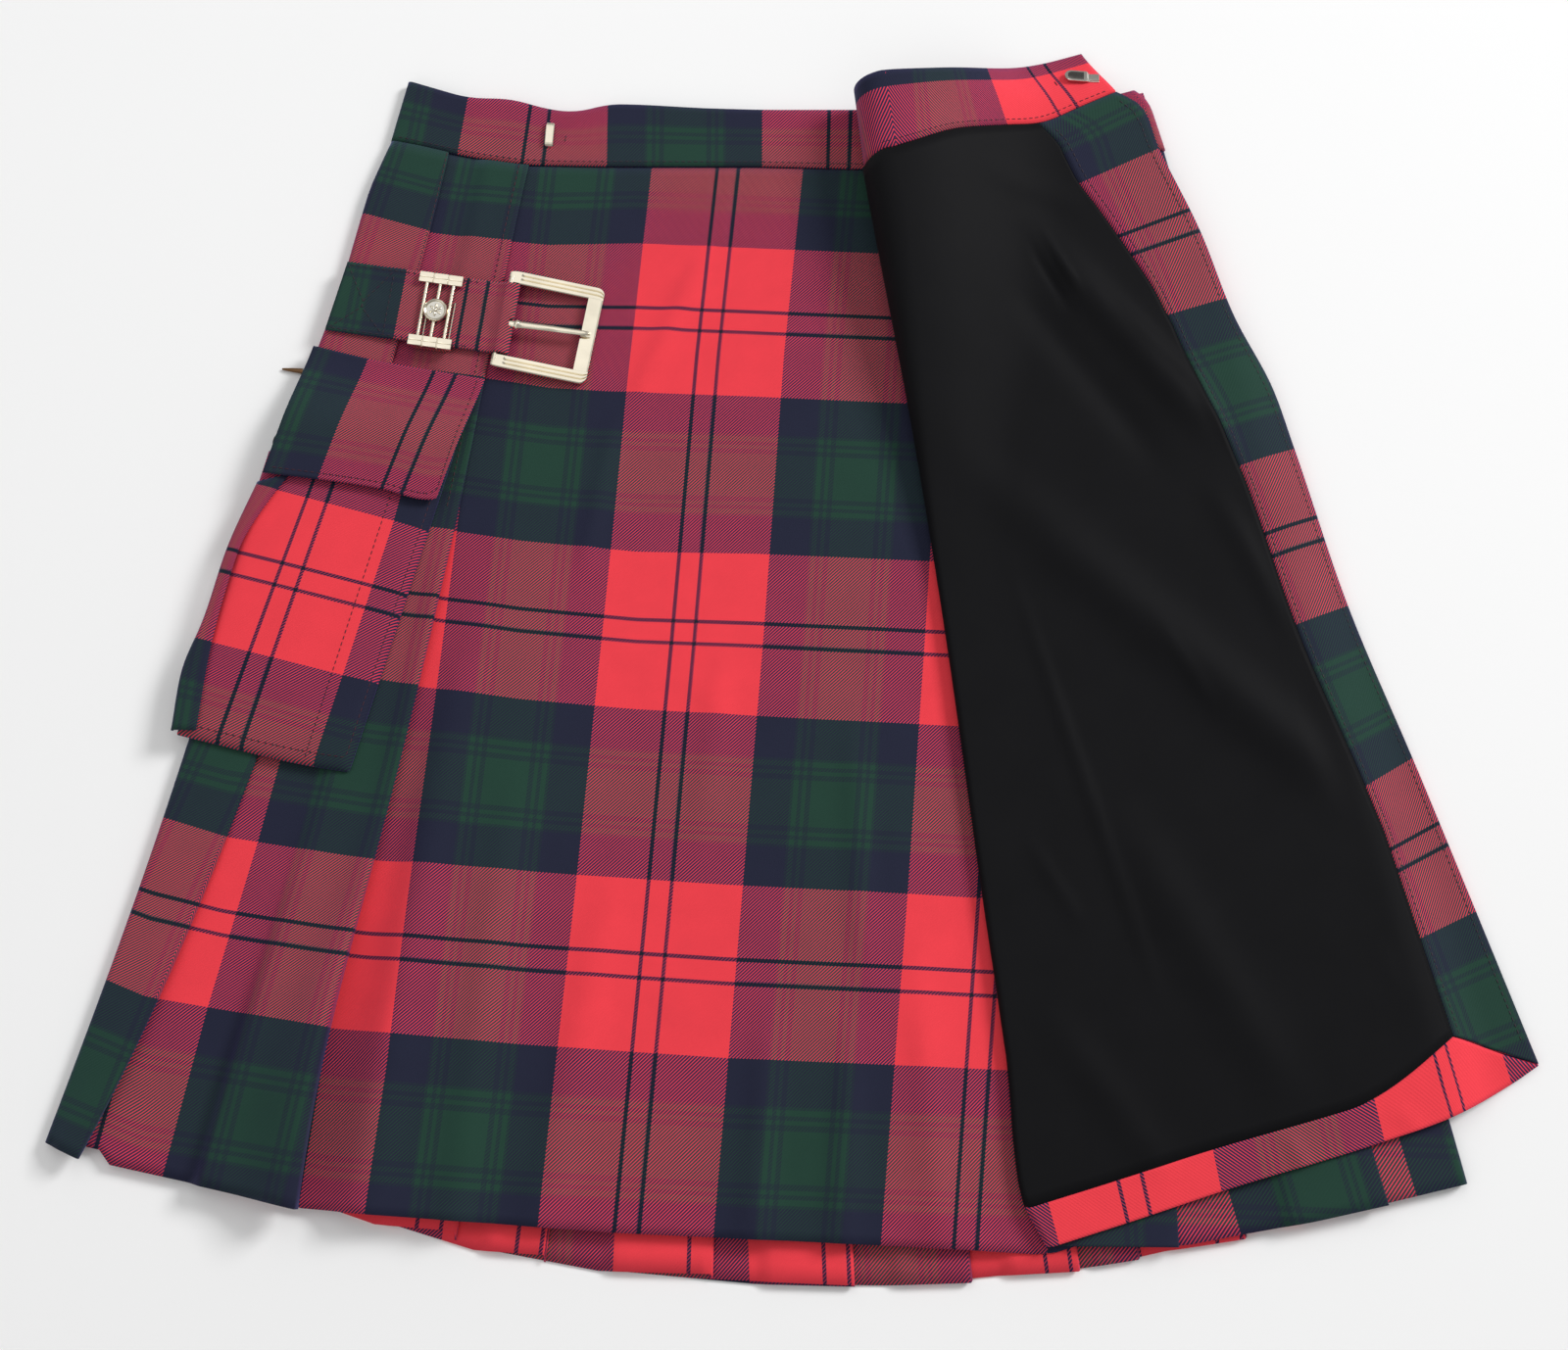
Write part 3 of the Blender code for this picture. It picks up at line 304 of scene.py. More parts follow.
UNDER_APRON_COLUMNS = {
    -0.5: ((-159, 261), (-188, -46), (-204, -220), (-211, -278)),
    0.0: ((-77, 261), (-87, 158), (-100, 1), (-112, -138), (-126, -288)),
    0.5: ((6, 261), (-4, 160), (-15, 1), (-26, -138), (-38, -288)),
    1.0: ((89, 261), (70, 1), (59, -138), (46, -288)),
}
LEFT_PLEAT_2_COLUMNS = {
    0.5: ((-203, 273), (-266, -60), (-276, -103), (-298, -188), (-317, -273)),
    1.0: ((-120, 273), (-181, -60), (-190, -103), (-211, -188), (-229, -273)),
}
LEFT_PLEAT_1_COLUMNS = {
    0.75: ((-201, 273), (-222, 200), (-253, 70), (-285, -40), (-330, -150), (-368, -255)),
    1.25: ((-116, 273), (-137, 200), (-167, 70), (-199, -40), (-243, -150), (-280, -255)),
}
FACING_ROWS = {
    0.0: ((159, 256), (200, 275)),
    0.5: ((203, 180), (233, 189)),
    1.0: ((239, 96), (267, 106)),
    1.5: ((266, 10), (291, 20)),
    2.0: ((297, -76), (321, -62)),
    2.5: ((321, -155), (349, -142)),
}
HEM_STRIP_COLUMNS = {
    0.0: ((128, -286), (133, -306)),
    0.25: ((169, -275), (173, -294)),
    0.5: ((212, -264), (215, -281)),
    1.0: ((294, -237), (298, -257)),
    1.2165: ((327, -221), (333, -246)),
    1.2835: ((333, -218), (339, -243)),
    1.5: ((362, -213), (366, -228)),
}
OPEN_BAND_COLUMNS = {
    -0.46: ((55.5, 316), (55.5, 262)),
    0.0: ((106, 321), (117, 287)),
    0.2165: ((132, 322), (147, 295)),
    0.2835: ((142, 324), (157, 299)),
}
LEFT_BAND_COLUMNS = {
    0.0: ((-178, 307), (-183, 274)),
    0.25: ((-138, 302), (-142, 268)),
    0.5: ((-101, 303), (-101, 267)),
    1.0: ((-16, 300), (-16, 267)),
    1.5: ((69, 300), (67, 267)),
}
STRAP_COLUMNS = {
    0.0: ((-208, 204), (-214, 166)),
    0.25: ((-169, 200), (-175, 160)),
}
FLAP_COLUMNS = {
    0.0: ((-228, 154), (-250, 88)),
    0.25: ((-187, 146), (-211, 81)),
}
POCKET_COLUMNS = {
    0.2165: ((-254, 85), (-298, -52)),
    0.2835: ((-244, 83), (-286, -55)),
    0.5: ((-207, 78), (-210, 65), (-234, -18), (-248, -65)),
}
POCKET_ROWS = {
    0.0: ((-273, 82), (-210, 65), (-190, 59)),
    0.25: ((-291, 42), (-221, 24), (-202, 19)),
    0.5: ((-305, 0), (-234, -18), (-216, -22)),
}


@dataclass(frozen=True)
class Layout:
    """The kilt's layout on the surface: heights of its layers, its ribs and its edges."""

    cloth: float = 1.0
    air: float = 0.3
    seam_gap: float = 0.3
    drop: float = 570.0
    band_cloth: float = 2.0
    back_low: float = 0.5
    front_low: float = 4.4
    apron_over: float = 9.6
    under_band: float = 5.2
    over_band: float = 7.6
    roll_at_waist: float = 13.5
    roll_at_hem: float = 1.5
    roll_shrinks: float = 0.42
    settle_base: float = 30.0
    settle_per_radius: float = 5.2
    side_hang: float = 8.4
    side_hang_reach: float = 38.0
    top_hang: float = 7.0
    top_hang_reach: float = 28.0
    top_hang_from: float = 80.0
    top_hang_grows: float = 50.0
    hang_start: float = 2.0
    pleat_ramp: float = 11.0
    pleat_fill: float = 0.55
    front_pleat_fill: float = 0.42
    hem_facing: float = 19.0
    left_side: Rib = Rib(-219, -264, -298, -334.5, -377)
    left_pleat_1: Rib = Rib(-188, -220, -259, -303, -359)
    left_pleat_2: Rib = Rib(-144, -168, -193, -223, -246.5)
    apron_fold: Rib = Rib(38.5, 63, 84, 102, 130)
    under_apron_end: Rib = Rib(140, 158, 173, 186, 194.5)
    fold_sets_in: tuple = (
        (0.0, 0), (0.78, 0), (0.84, 1.0), (0.875, 3.2), (0.907, 5.9), (0.945, 8.4), (0.965, 8.6), (1.0, 3.0),
    )
    side_sets_in: tuple = (
        (0.0, 0), (0.05, 0), (0.1, 2.8), (0.14, 4.8), (0.2, 4.6), (0.24, 3.6), (0.35, 2.0), (0.5, 0), (1.0, 0),
    )
    right_sets_in: float = 3.8
    right_pleat_1: Rib = Rib(132, 150, 168, 184, 193)
    right_pleat_2: Rib = Rib(172, 203, 234, 265, 299)
    right_side: Rib = Rib(208, 240, 272, 306, 340)
    front_seam: tuple = (
        (-219, 282), (-204, 279), (-183, 274), (-165, 270.5), (-148, 268), (-102, 267),
        (-17, 267), (38, 265.5), (130, 267), (156, 268.5), (208, 277),
    )
    front_band_top: tuple = (
        (-210.5, 317), (-178, 307), (-154, 306.5), (-133, 300), (-117, 298.5), (-101, 303.5),
        (-81, 303), (-49, 301), (-16, 300), (36, 300), (130, 301), (172, 306), (198, 313),
    )
    front_hem: tuple = (
        (-377, -257), (-359, -265), (-308, -276), (-247, -289.5), (-174, -295), (-88, -301.5),
        (13, -306), (83, -309.5), (128, -312.5), (142, -308), (203, -298),
    )
    over_hem: tuple = ((130, -308), (193, -308.5), (225, -302.5), (262, -296), (299, -288), (340, -277.5))
    back_hem: tuple = (
        (-377, -250), (-326, -262), (-276, -275), (-236, -288), (-169, -306), (-124, -316),
        (-80, -321), (-40, -324), (31, -330), (89, -324), (144, -320), (174, -314), (225, -304),
        (262, -295), (275, -290), (340, -272),
    )
    open_seam: tuple = ((56, 266), (66, 270), (87, 279), (116, 286), (137, 290), (157, 299), (178, 308.5))
    open_band_top: tuple = ((48.5, 309.5), (66, 311.5), (103, 318.5), (136, 327), (160.5, 334))
    open_edge: tuple = (
        (178, 308.5), (190.5, 301), (200.5, 275.5), (221.5, 228), (239, 178), (258, 140.5),
        (268.5, 107), (293.5, 21.5), (324, -60), (353, -141), (380.5, -218.5),
    )
    open_hem: tuple = (
        (133, -307), (169, -296), (215.5, -281), (298, -256.5), (331.5, -245), (366, -228), (380.5, -218.5),
    )
    back_hem_corner: tuple = ((-377, -243), (-346, -255.5))
    left_hem_steps: float = 0.7
    right_hem_steps: float = 0.7 * 0.35
    left_steps_end: float = 100.0
    edge_facing: tuple = (
        (0.0, 47), (0.02, 50), (0.045, 51), (0.075, 48), (0.1, 45), (0.16, 40), (0.2, 35.5), (0.24, 33), (0.27, 33.5),
        (0.32, 36), (0.36, 34.5), (0.4, 32.5), (0.46, 32), (0.58, 32), (0.75, 31), (0.88, 35.5), (0.967, 38), (1.0, 38),
    )
    back_pleats: tuple = (
        BackPleat(-188, -326, 0.30), BackPleat(-155, -276, 0.30), BackPleat(-122, -224, 0.30),
        BackPleat(-89, -169, 0.33), BackPleat(-57, -124, 0.30), BackPleat(-25, -40, 0.285),
        BackPleat(8, 31, 0.30), BackPleat(41, 90, 0.97), BackPleat(73, 144, 0.31),
        BackPleat(104, 174, 0.95), BackPleat(137, 228, 0.30), BackPleat(170, 278, 0.30),
    )

    @property
    def stepped_back_hem(self) -> Points:
        """The back's hem, with a small step at the edge of each pleat but none at its left end.

        Returns:
            Plan points of the edge.
        """
        stops = [pleat.hem for pleat in self.back_pleats]
        points = list(self.back_hem_corner)
        for low, high in zip(stops, stops[1:]):
            middle = float(clamped(self.back_hem, (low + high) / 2))
            share = self.left_hem_steps if high < self.left_steps_end else self.right_hem_steps
            for x in np.linspace(low + self.air, high - self.air, 4):
                y = float(clamped(self.back_hem, x))
                points.append((x, y + share * (middle - y)))
        return (*points, self.back_hem[-1])

    @property
    def ply(self) -> float:
        """Rise from one layer of cloth to the next."""
        return self.cloth + self.air

    @property
    def right_low(self) -> float:
        """Height of the right pleats' lowest layer."""
        return self.front_low + self.ply

    @property
    def apron_up(self) -> float:
        """Height of the over apron's face."""
        return self.right_low + self.ply

    @property
    def fell_top(self) -> float:
        """Top of the stitched pleats, which the strap and the pocket lie on."""
        return self.front_low + 2 * self.ply + self.cloth / 2

    @property
    def left_wrap(self) -> float:
        """Radius of the left side's turn."""
        return (self.front_low + 2 * self.ply - self.back_low) / 2

    @property
    def right_wrap(self) -> float:
        """Radius of the right side's turn."""
        return (self.right_low - self.back_low) / 2

    @property
    def hem_share(self) -> float:
        """Share of the drop where the turned-up hem begins."""
        return 1 - self.hem_facing / self.drop

    @staticmethod
    def rib_x(rib: Rib, drop: float) -> float:
        """x of a rib at a share of the drop, on the quartic through its five stations.

        Args:
            rib: the rib.
            drop: share of the drop.

        Returns:
            Its x.
        """
        stations = np.linspace(0, 1, len(rib))
        total = 0.0
        for i, x in enumerate(rib):
            others = np.delete(stations, i)
            total += x * np.prod((drop - others) / (stations[i] - others))
        return total

    def body_y(self, drop: float, x: Array, hem: Points) -> Array:
        """y on the flattened tube at a share of the drop.

        Args:
            drop: share of the way from the waist seam to the hem.
            x: plan x of each point.
            hem: the hem's edge table.

        Returns:
            y of each point.
        """
        left, right = self.rib_x(self.left_side, drop), self.rib_x(self.right_side, drop)
        across = (np.asarray(x, float) - left) / (right - left)
        at_seam = self.left_side.waist + across * (self.right_side.waist - self.left_side.waist)
        at_hem = self.left_side.hem + across * (self.right_side.hem - self.left_side.hem)
        return (1 - drop) * clamped(self.front_seam, at_seam) + drop * clamped(hem, at_hem)

    def placed(self, drop: float, section: Points, hem: Points) -> Array:
        """Section points (x, z) set on the body's plan."""
        section = np.asarray(section, float)
        return np.column_stack([section[:, 0], self.body_y(drop, section[:, 0], hem), section[:, 1]])

    def fold_x(self, drop: float) -> float:
        """x of the over apron's fold."""
        return self.rib_x(self.apron_fold, drop) - float(clamped(self.fold_sets_in, drop))

    def right_x(self, drop: float) -> float:
        """x of the right side, set in a little at the waist."""
        return self.rib_x(self.right_side, drop) - self.right_sets_in * (1 - eased((drop - 0.03) / 0.15))

    def left_x(self, drop: float) -> float:
        """x of the left side, set in a little under the strap."""
        return self.rib_x(self.left_side, drop) + float(clamped(self.side_sets_in, drop))

    def pleat(self, edge: float, depth: float, low: float, steps: int = 6, puff: float = 0.0,
              wide: float = 16.0) -> list:
        """One knife pleat whose fold faces right: climb, fold under, return, fold on.

        Args:
            edge: x of its outer fold.
            depth: how far back its inner fold lies.
            low: height of its lowest layer.
            steps: steps round each fold.
            puff: how far its outer fold stands up from the layer below.
            wide: how far back from the fold that reaches.

        Returns:
            Section points (x, z).
        """
        half = self.ply / 2
        high, middle, hidden = low + 2 * self.ply, low + self.ply, edge - depth
        climb = np.linspace(0, 1, CLIMB_POINTS)
        rise = [(hidden - self.pleat_ramp + (self.pleat_ramp - self.cloth) * t,
                 low + (high - low) * eased(t)) for t in climb]
        face = [(x, high) for x in np.linspace(hidden, edge - half, FACE_POINTS - CLIMB_POINTS + 1)[1:-1]]
        fold = [
            *rise, *face,
            *arc(edge - half, high - half, half, 90, -90, steps),
            *arc(hidden + half, middle - half, half, 90, 270, steps),
        ]
        return [(x, z + puff * (z - low) / (high - low) * math.exp(-(((edge - x) / wide) ** 2))) for x, z in fold]

    def drops(self, end: float = 1.0, count: int = DOWN_STEPS) -> Array:
        """Even shares of the drop, starting just below the waist seam."""
        return np.linspace(self.seam_gap / self.drop, end, count)

    def left_pleat_depth(self, drop: float) -> float:
        """Depth of the second left pleat."""
        return self.front_pleat_fill * (self.rib_x(self.left_pleat_2, drop) - self.rib_x(self.left_pleat_1, drop))

    def under_apron_start(self, drop: float) -> float:
        """Where the left pleats hand over to the under apron."""
        return self.rib_x(self.left_pleat_2, drop) - self.left_pleat_depth(drop) / 2

    def right_pleat_depth(self, drop: float) -> float:
        """Depth of both pleats on the front's right."""
        return self.front_pleat_fill * (self.rib_x(self.right_pleat_2, drop) - self.rib_x(self.right_pleat_1, drop))

    def over_apron_end(self, drop: float) -> float:
        """Where the over apron hands over to the right pleats."""
        return self.rib_x(self.right_pleat_1, drop) - self.right_pleat_depth(drop) / 2

    def roll_radius(self, drop: float) -> float:
        """Radius of the over apron's roll, to the middle of the tartan."""
        grown = 1 - smoothstep(drop / self.roll_shrinks)
        return self.roll_at_hem + (self.roll_at_waist - self.roll_at_hem) * float(grown)

    def fold_line(self, drop: float) -> Array:
        """Plan point of the roll's middle at a share of the drop."""
        x = self.fold_x(drop) + self.roll_radius(drop) + self.ply + self.cloth / 2
        return np.array([x, float(self.body_y(drop, self.fold_x(drop), self.over_hem))])

    def right_side_at(self, y: Array) -> Array:
        """x of the right side at each y.

        Args:
            y: plan y of each point.

        Returns:
            x for each.
        """
        top, low = self.front_seam[-1][1], self.over_hem[-1][1]
        share = np.clip((top - y) / (top - low), 0, 1)
        return np.array([self.right_x(value) for value in np.atleast_1d(share)])

    def open_height(self, drop: float, plan: Array, from_fold: Array) -> Array:
        """Height of the opened apron's tartan, without its creases.

        Args:
            drop: share of the way from the waist seam to the hem.
            plan: plan points.
            from_fold: distance of each point from the fold.

        Returns:
            The height of each point: down from the roll, level, then hanging over the edges.
        """
        x, y = plan[:, 0], plan[:, 1]
        radius = self.roll_radius(drop)
        top = self.apron_up + 2 * radius
        settle = 1 - smoothstep(from_fold / (self.settle_base + self.settle_per_radius * radius))
        past_side = x - self.right_side_at(y) + self.hang_start
        past_top = y - clamped(self.front_band_top, x) + self.hang_start
        hang = self.side_hang * smoothstep(past_side / self.side_hang_reach)
        grown = smoothstep((x - self.top_hang_from) / self.top_hang_grows)
        hang = hang + self.top_hang * smoothstep(past_top / self.top_hang_reach) * grown
        return self.apron_over + (top - self.apron_over) * settle - hang

    def calm(self, plan: Array, from_fold: Array) -> Array:
        """Share of the creases that shows: none by the roll or where the cloth hangs over the side."""
        past_side = plan[:, 0] - self.right_side_at(plan[:, 1]) + self.hang_start
        return smoothstep(from_fold / 18.0) * (1 - smoothstep((past_side + 18.0) / 18.0))

    def open_plan(self, drop: float, across: Array) -> Array:
        """Plan points of the opened apron: a patch between the fold, the free edge, seam and hem.

        Args:
            drop: share of the drop.
            across: shares of the width.

        Returns:
            A plan point for each share.
        """
        across = np.asarray(across, float)
        share = across[:, None]
        corners = [self.fold_line(0.0), np.array(self.open_edge[0]), self.fold_line(1.0), np.array(self.open_edge[-1])]
        seam = curve_through([corners[0], *self.open_seam[1:]], across)
        hem = curve_through([corners[2], *self.open_hem[1:]], across)
        sides = (1 - share) * self.fold_line(drop) + share * curve_through(self.open_edge, drop)[0]
        ends = (1 - drop) * seam + drop * hem
        flat = (1 - drop) * ((1 - share) * corners[0] + share * corners[1])
        flat += drop * ((1 - share) * corners[2] + share * corners[3])
        return sides + ends - flat

    def open_width(self, drop: float) -> float:
        """Width of the opened part from the roll to the free edge."""
        return float(np.hypot(*(curve_through(self.open_edge, drop)[0] - self.fold_line(drop))))

    def facing_share(self, drop: float) -> float:
        """Share of the opened apron's width where the edge facing begins."""
        return 1 - float(clamped(self.edge_facing, drop)) / self.open_width(drop)


class Pigment(NamedTuple):
    """A colour as the eye sees it, from 0 to 255."""

    red: float
    green: float
    blue: float

    def linear(self) -> tuple:
        """The colour as linear light, with full opacity."""
        light = [s / 12.92 if s <= 0.04045 else ((s + 0.055) / 1.055) ** 2.4 for s in (c / 255 for c in self)]
        return (*light, 1.0)


class Wiring:
    """A material's node tree with short calls for its common nodes."""

    def __init__(self, name: str) -> None:
        """Starts an empty material of that name.

        Args:
            name: the material's name.
        """
        self.material = bpy.data.materials.new(name)
        self.material.use_nodes = True
        self.tree = self.material.node_tree
        self.shader = self.tree.nodes["Principled BSDF"]

    def node(self, kind: str, values: Optional[Mapping] = None, **settings: object) -> bpy.types.Node:
        """Adds a node, then sets its properties and inputs.

        Args:
            kind: the node's type.
            values: its inputs by name or number.
            settings: its properties.

        Returns:
            The node.
        """
        made = self.tree.nodes.new(kind)
        for key, value in settings.items():
            setattr(made, key, value)
        for key, value in (values or {}).items():
            self.put(made.inputs[key], value)
        return made

    def put(self, socket: Socket, value: object) -> None:
        """Links a socket to another, or sets its value.

        Args:
            socket: an input.
            value: a socket, a number, a vector or a colour.
        """
        if isinstance(value, Socket):
            self.tree.links.new(value, socket)
        else:
            socket.default_value = value

    def math(self, operation: str, *values: object) -> Socket:
        """The result of a Math node on sockets or numbers."""
        return self.node("ShaderNodeMath", dict(enumerate(values)), operation=operation).outputs[0]

    def mix(self, share: object, first: object, second: object, blend: str = "MIX") -> Socket:
        """A mix of two colours."""
        inputs = {0: share, 6: first, 7: second}
        return self.node("ShaderNodeMix", inputs, data_type="RGBA", blend_type=blend).outputs[2]

    def noise(self, where: Socket, scale: float, detail: float) -> Socket:
        """The factor of a noise texture."""
        return self.node("ShaderNodeTexNoise", {"Vector": where, "Scale": scale, "Detail": detail}).outputs[0]

    def bump(self, height: Socket, depth: float, strength: float) -> Socket:
        """A bumped normal from a height of 0 to 1, its depth in metres."""
        return self.node("ShaderNodeBump", {"Strength": strength, "Distance": depth, "Height": height}).outputs[0]

    def span(self, value: Socket, low: float, high: float) -> Socket:
        """0 where a value is low, 1 where it is high."""
        return self.node("ShaderNodeMapRange", {0: value, 1: low, 2: high}, clamp=True).outputs[0]

    def stretched(self, where: Socket, scale: tuple) -> Socket:
        """Coordinates stretched by a scale for each axis."""
        return self.node("ShaderNodeMapping", {0: where, "Scale": scale}).outputs[0]

    def shaded(self, colour: object, shade: Socket) -> Socket:
        """A colour made lighter or darker by a factor."""
        tone = self.node("ShaderNodeCombineColor", dict.fromkeys(range(3), shade)).outputs[0]
        return self.mix(1.0, colour, tone, "MULTIPLY")

    def dress(self, **sockets: object) -> None:
        """Links or sets inputs of the shader, by their names with _ for a space."""
        for name, value in sockets.items():
            self.put(self.shader.inputs[name.replace("_", " ")], value)


@dataclass(frozen=True)
class Tartan:
    """Twill cloth in an even check of red and green blocks with navy edges and fine lines."""

    name: str
    red: Pigment = Pigment(236, 60, 70)
    navy: Pigment = Pigment(26, 30, 50)
    green: Pigment = Pigment(26, 60, 46)
    dusk: Pigment = Pigment(25, 43, 47)
    line: Pigment = Pigment(12, 18, 34)
    repeats: float = 96.0
    roughness: float = 0.85
    sheen: float = 0.22
    glint: Pigment = Pigment(150, 140, 235)
    # groove: share of painted shade in the twill's grooves, where the colour is pulled towards the darker yarn
    groove: float = 0.95
    blush: tuple = (0.0, 0.003, 0.028)
    line_off_middle: float = 0.0335
    line_half: float = 0.0058
    line_weight: float = 0.5
    stripes: tuple = (
        (0.0, "red"), (0.2107, "line"), (0.2223, "red"), (0.2777, "line"),
        (0.2893, "red"), (0.5, "navy"), (0.618, "dusk"), (0.628, "green"), (0.6425, "dusk"),
        (0.6525, "green"), (0.6675, "dusk"), (0.68, "green"), (0.82, "dusk"),
        (0.8325, "green"), (0.8475, "dusk"), (0.8575, "green"), (0.872, "dusk"), (0.882, "navy"),
    )

    def _yarn(self, wire: Wiring, place: Socket) -> Socket:
        """Colour of a thread at a place in the sett.

        Args:
            wire: the material's wiring.
            place: socket of the place.

        Returns:
            The colour's socket.
        """
        ramp = wire.node("ShaderNodeValToRGB", {0: wire.math("FRACT", place)})
        ramp.color_ramp.interpolation = "CONSTANT"
        points = ramp.color_ramp.elements
        while len(points) < len(self.stripes):
            points.new(0.5)
        for point, (start, _) in zip(points, self.stripes):
            point.position = start
        for point, (_, yarn) in zip(points, self.stripes):
            point.color = getattr(self, yarn).linear()
        return ramp.outputs[0]

    def _on_line(self, wire: Wiring, place: Socket) -> Socket:
        """1 on the fine lines of a red block, else 0.

        Args:
            wire: the material's wiring.
            place: socket of the place.

        Returns:
            The value's socket.
        """
        off = wire.math("ABSOLUTE", wire.math("SUBTRACT", wire.math("FRACT", place), 0.25))
        off = wire.math("ABSOLUTE", wire.math("SUBTRACT", off, self.line_off_middle))
        return wire.math("LESS_THAN", off, self.line_half)

    def material(self) -> Finish:
        """Builds the cloth's material on the weave's own coordinates.

        Returns:
            The material.
        """
        wire = Wiring(self.name)
        weave = wire.node("ShaderNodeUVMap", uv_map="weave").outputs[0]
        across, down, _ = wire.node("ShaderNodeSeparateXYZ", {0: weave}).outputs
        wave = wire.math("MULTIPLY", wire.math("ADD", across, down), self.repeats * 2 * math.pi)
        twill = wire.math("MULTIPLY_ADD", wire.math("SINE", wave), 0.5, 0.5)
        warp, weft = self._yarn(wire, across), self._yarn(wire, down)
        colour = wire.mix(wire.span(twill, 0.36, 0.64), warp, weft)
        # Painted shade in the twill's grooves: where the threads cross, the colour is pulled towards the darker of warp
        # and weft; the fine lines reuse that darker colour
        seam = wire.math("SUBTRACT", 1.0, wire.math("ABSOLUTE", wire.math("MULTIPLY_ADD", twill, 2.0, -1.0)))
        groove_shade_and_line_colour = wire.mix(1.0, warp, weft, "DARKEN")
        colour = wire.mix(wire.math("MULTIPLY", seam, self.groove), colour, groove_shade_and_line_colour)
        lined = wire.math("MAXIMUM", self._on_line(wire, across), self._on_line(wire, down))
        colour = wire.mix(wire.math("MULTIPLY", lined, self.line_weight), colour, groove_shade_and_line_colour)
        unlike = wire.node("ShaderNodeSeparateColor", {0: wire.mix(1.0, warp, weft, "DIFFERENCE")}).outputs[0]
        gains = {index: wire.math("MULTIPLY", unlike, gain) for index, gain in enumerate(self.blush)}
        colour = wire.mix(1.0, colour, wire.node("ShaderNodeCombineColor", gains).outputs[0], "ADD")
        fuzz = wire.math("MULTIPLY_ADD", wire.noise(weave, 420.0, 2.0), 0.3, 0.85)
        patch = wire.math("MULTIPLY_ADD", wire.noise(weave, 9.0, 3.0), 0.16, 0.92)
        wire.dress(
            Base_Color=wire.shaded(colour, wire.math("MULTIPLY", fuzz, patch)), Roughness=self.roughness,
            Sheen_Weight=self.sheen, Sheen_Roughness=0.5, Sheen_Tint=self.glint.linear(),
            Specular_IOR_Level=0.25, Normal=wire.bump(twill, 0.00012, 0.6),
        )
        return wire.material


@dataclass(frozen=True)
class Lining:
    """Plain black lining with a faint sheen."""

    name: str = "black_lining"
    colour: Pigment = Pigment(19, 19, 21)

    def material(self) -> Finish:
        """Builds the lining's material.

        Returns:
            The material.
        """
        wire = Wiring(self.name)
        where = wire.node("ShaderNodeUVMap", uv_map="weave").outputs[0]
        shade = wire.math("MULTIPLY_ADD", wire.noise(where, 6.0, 3.0), 0.3, 0.85)
        wire.dress(
            Base_Color=wire.shaded(self.colour.linear(), shade), Roughness=0.6, Sheen_Weight=0.01,
            Specular_IOR_Level=0.06, Normal=wire.bump(wire.noise(where, 700.0, 2.0), 0.00006, 0.5),
        )
        return wire.material


@dataclass(frozen=True)
class Metal:
    """Polished or dull metal with fine wear."""

    name: str
    colour: Pigment
    roughness: float
    dulling: float = 0.86
    grain: tuple = (60.0, 120.0, 90.0)

    def material(self) -> Finish:
        """Builds the metal's material.

        Returns:
            The material.
        """
        wire = Wiring(self.name)
        where = wire.node("ShaderNodeTexCoord").outputs["Object"]
        wear = wire.noise(where, 160.0, 4.0)
        streak = wire.span(wire.noise(wire.stretched(where, self.grain), 1.0, 2.0), 0.3, 0.7)
        dulled = (*(value * self.dulling for value in self.colour.linear()[:3]), 1.0)
        wire.dress(
            Base_Color=wire.mix(streak, dulled, self.colour.linear()), Metallic=1.0,
            Roughness=wire.math("MULTIPLY_ADD", wear, 0.12, self.roughness - 0.06),
            Normal=wire.bump(wear, 0.00002, 0.15),
        )
        return wire.material


@dataclass(frozen=True)
class Thread:
    """Matt sewing thread."""

    name: str
    colour: Pigment

    def material(self) -> Finish:
        """Builds the thread's material.

        Returns:
            The material.
        """
        wire = Wiring(self.name)
        twist = wire.noise(wire.node("ShaderNodeTexCoord").outputs["Object"], 2400.0, 1.0)
        shade = wire.math("MULTIPLY_ADD", twist, 0.5, 0.75)
        wire.dress(
            Base_Color=wire.shaded(self.colour.linear(), shade), Roughness=0.7, Normal=wire.bump(twist, 0.00005, 0.5),
        )
        return wire.material


@dataclass(frozen=True)
class Lacquer:
    """Glossy black lacquer."""

    name: str = "black_lacquer"
    colour: Pigment = Pigment(14, 14, 15)

    def material(self) -> Finish:
        """Builds the lacquer's material.

        Returns:
            The material.
        """
        wire = Wiring(self.name)
        wear = wire.noise(wire.node("ShaderNodeTexCoord").outputs["Object"], 300.0, 3.0)
        wire.dress(Base_Color=self.colour.linear(), Roughness=wire.math("MULTIPLY_ADD", wear, 0.15, 0.2))
        return wire.material


class Finishes:
    """The kilt's finishes, each made once."""

    def __init__(self) -> None:
        """Builds every material."""
        self.tartan = Tartan("tartan_twill").material()
        self.lining = Lining().material()
        self.silver = Metal("warm_silver", Pigment(240, 231, 210), 0.18).material()
        self.steel = Metal("hook_steel", Pigment(216, 212, 202), 0.2).material()
        # Dark steel for the hook's hollow: a painted dark reflection and shade, not the hook's own colour
        self.painted_reflection_steel = Metal("painted_reflection_steel", Pigment(104, 102, 98), 0.28).material()
        self.red_thread = Thread("red_thread", Pigment(60, 18, 36)).material()
        self.dark_thread = Thread("dark_thread", Pigment(44, 30, 44)).material()
        self.bronze = Metal("dull_bronze", Pigment(122, 92, 66), 0.35).material()
        self.lacquer = Lacquer().material()


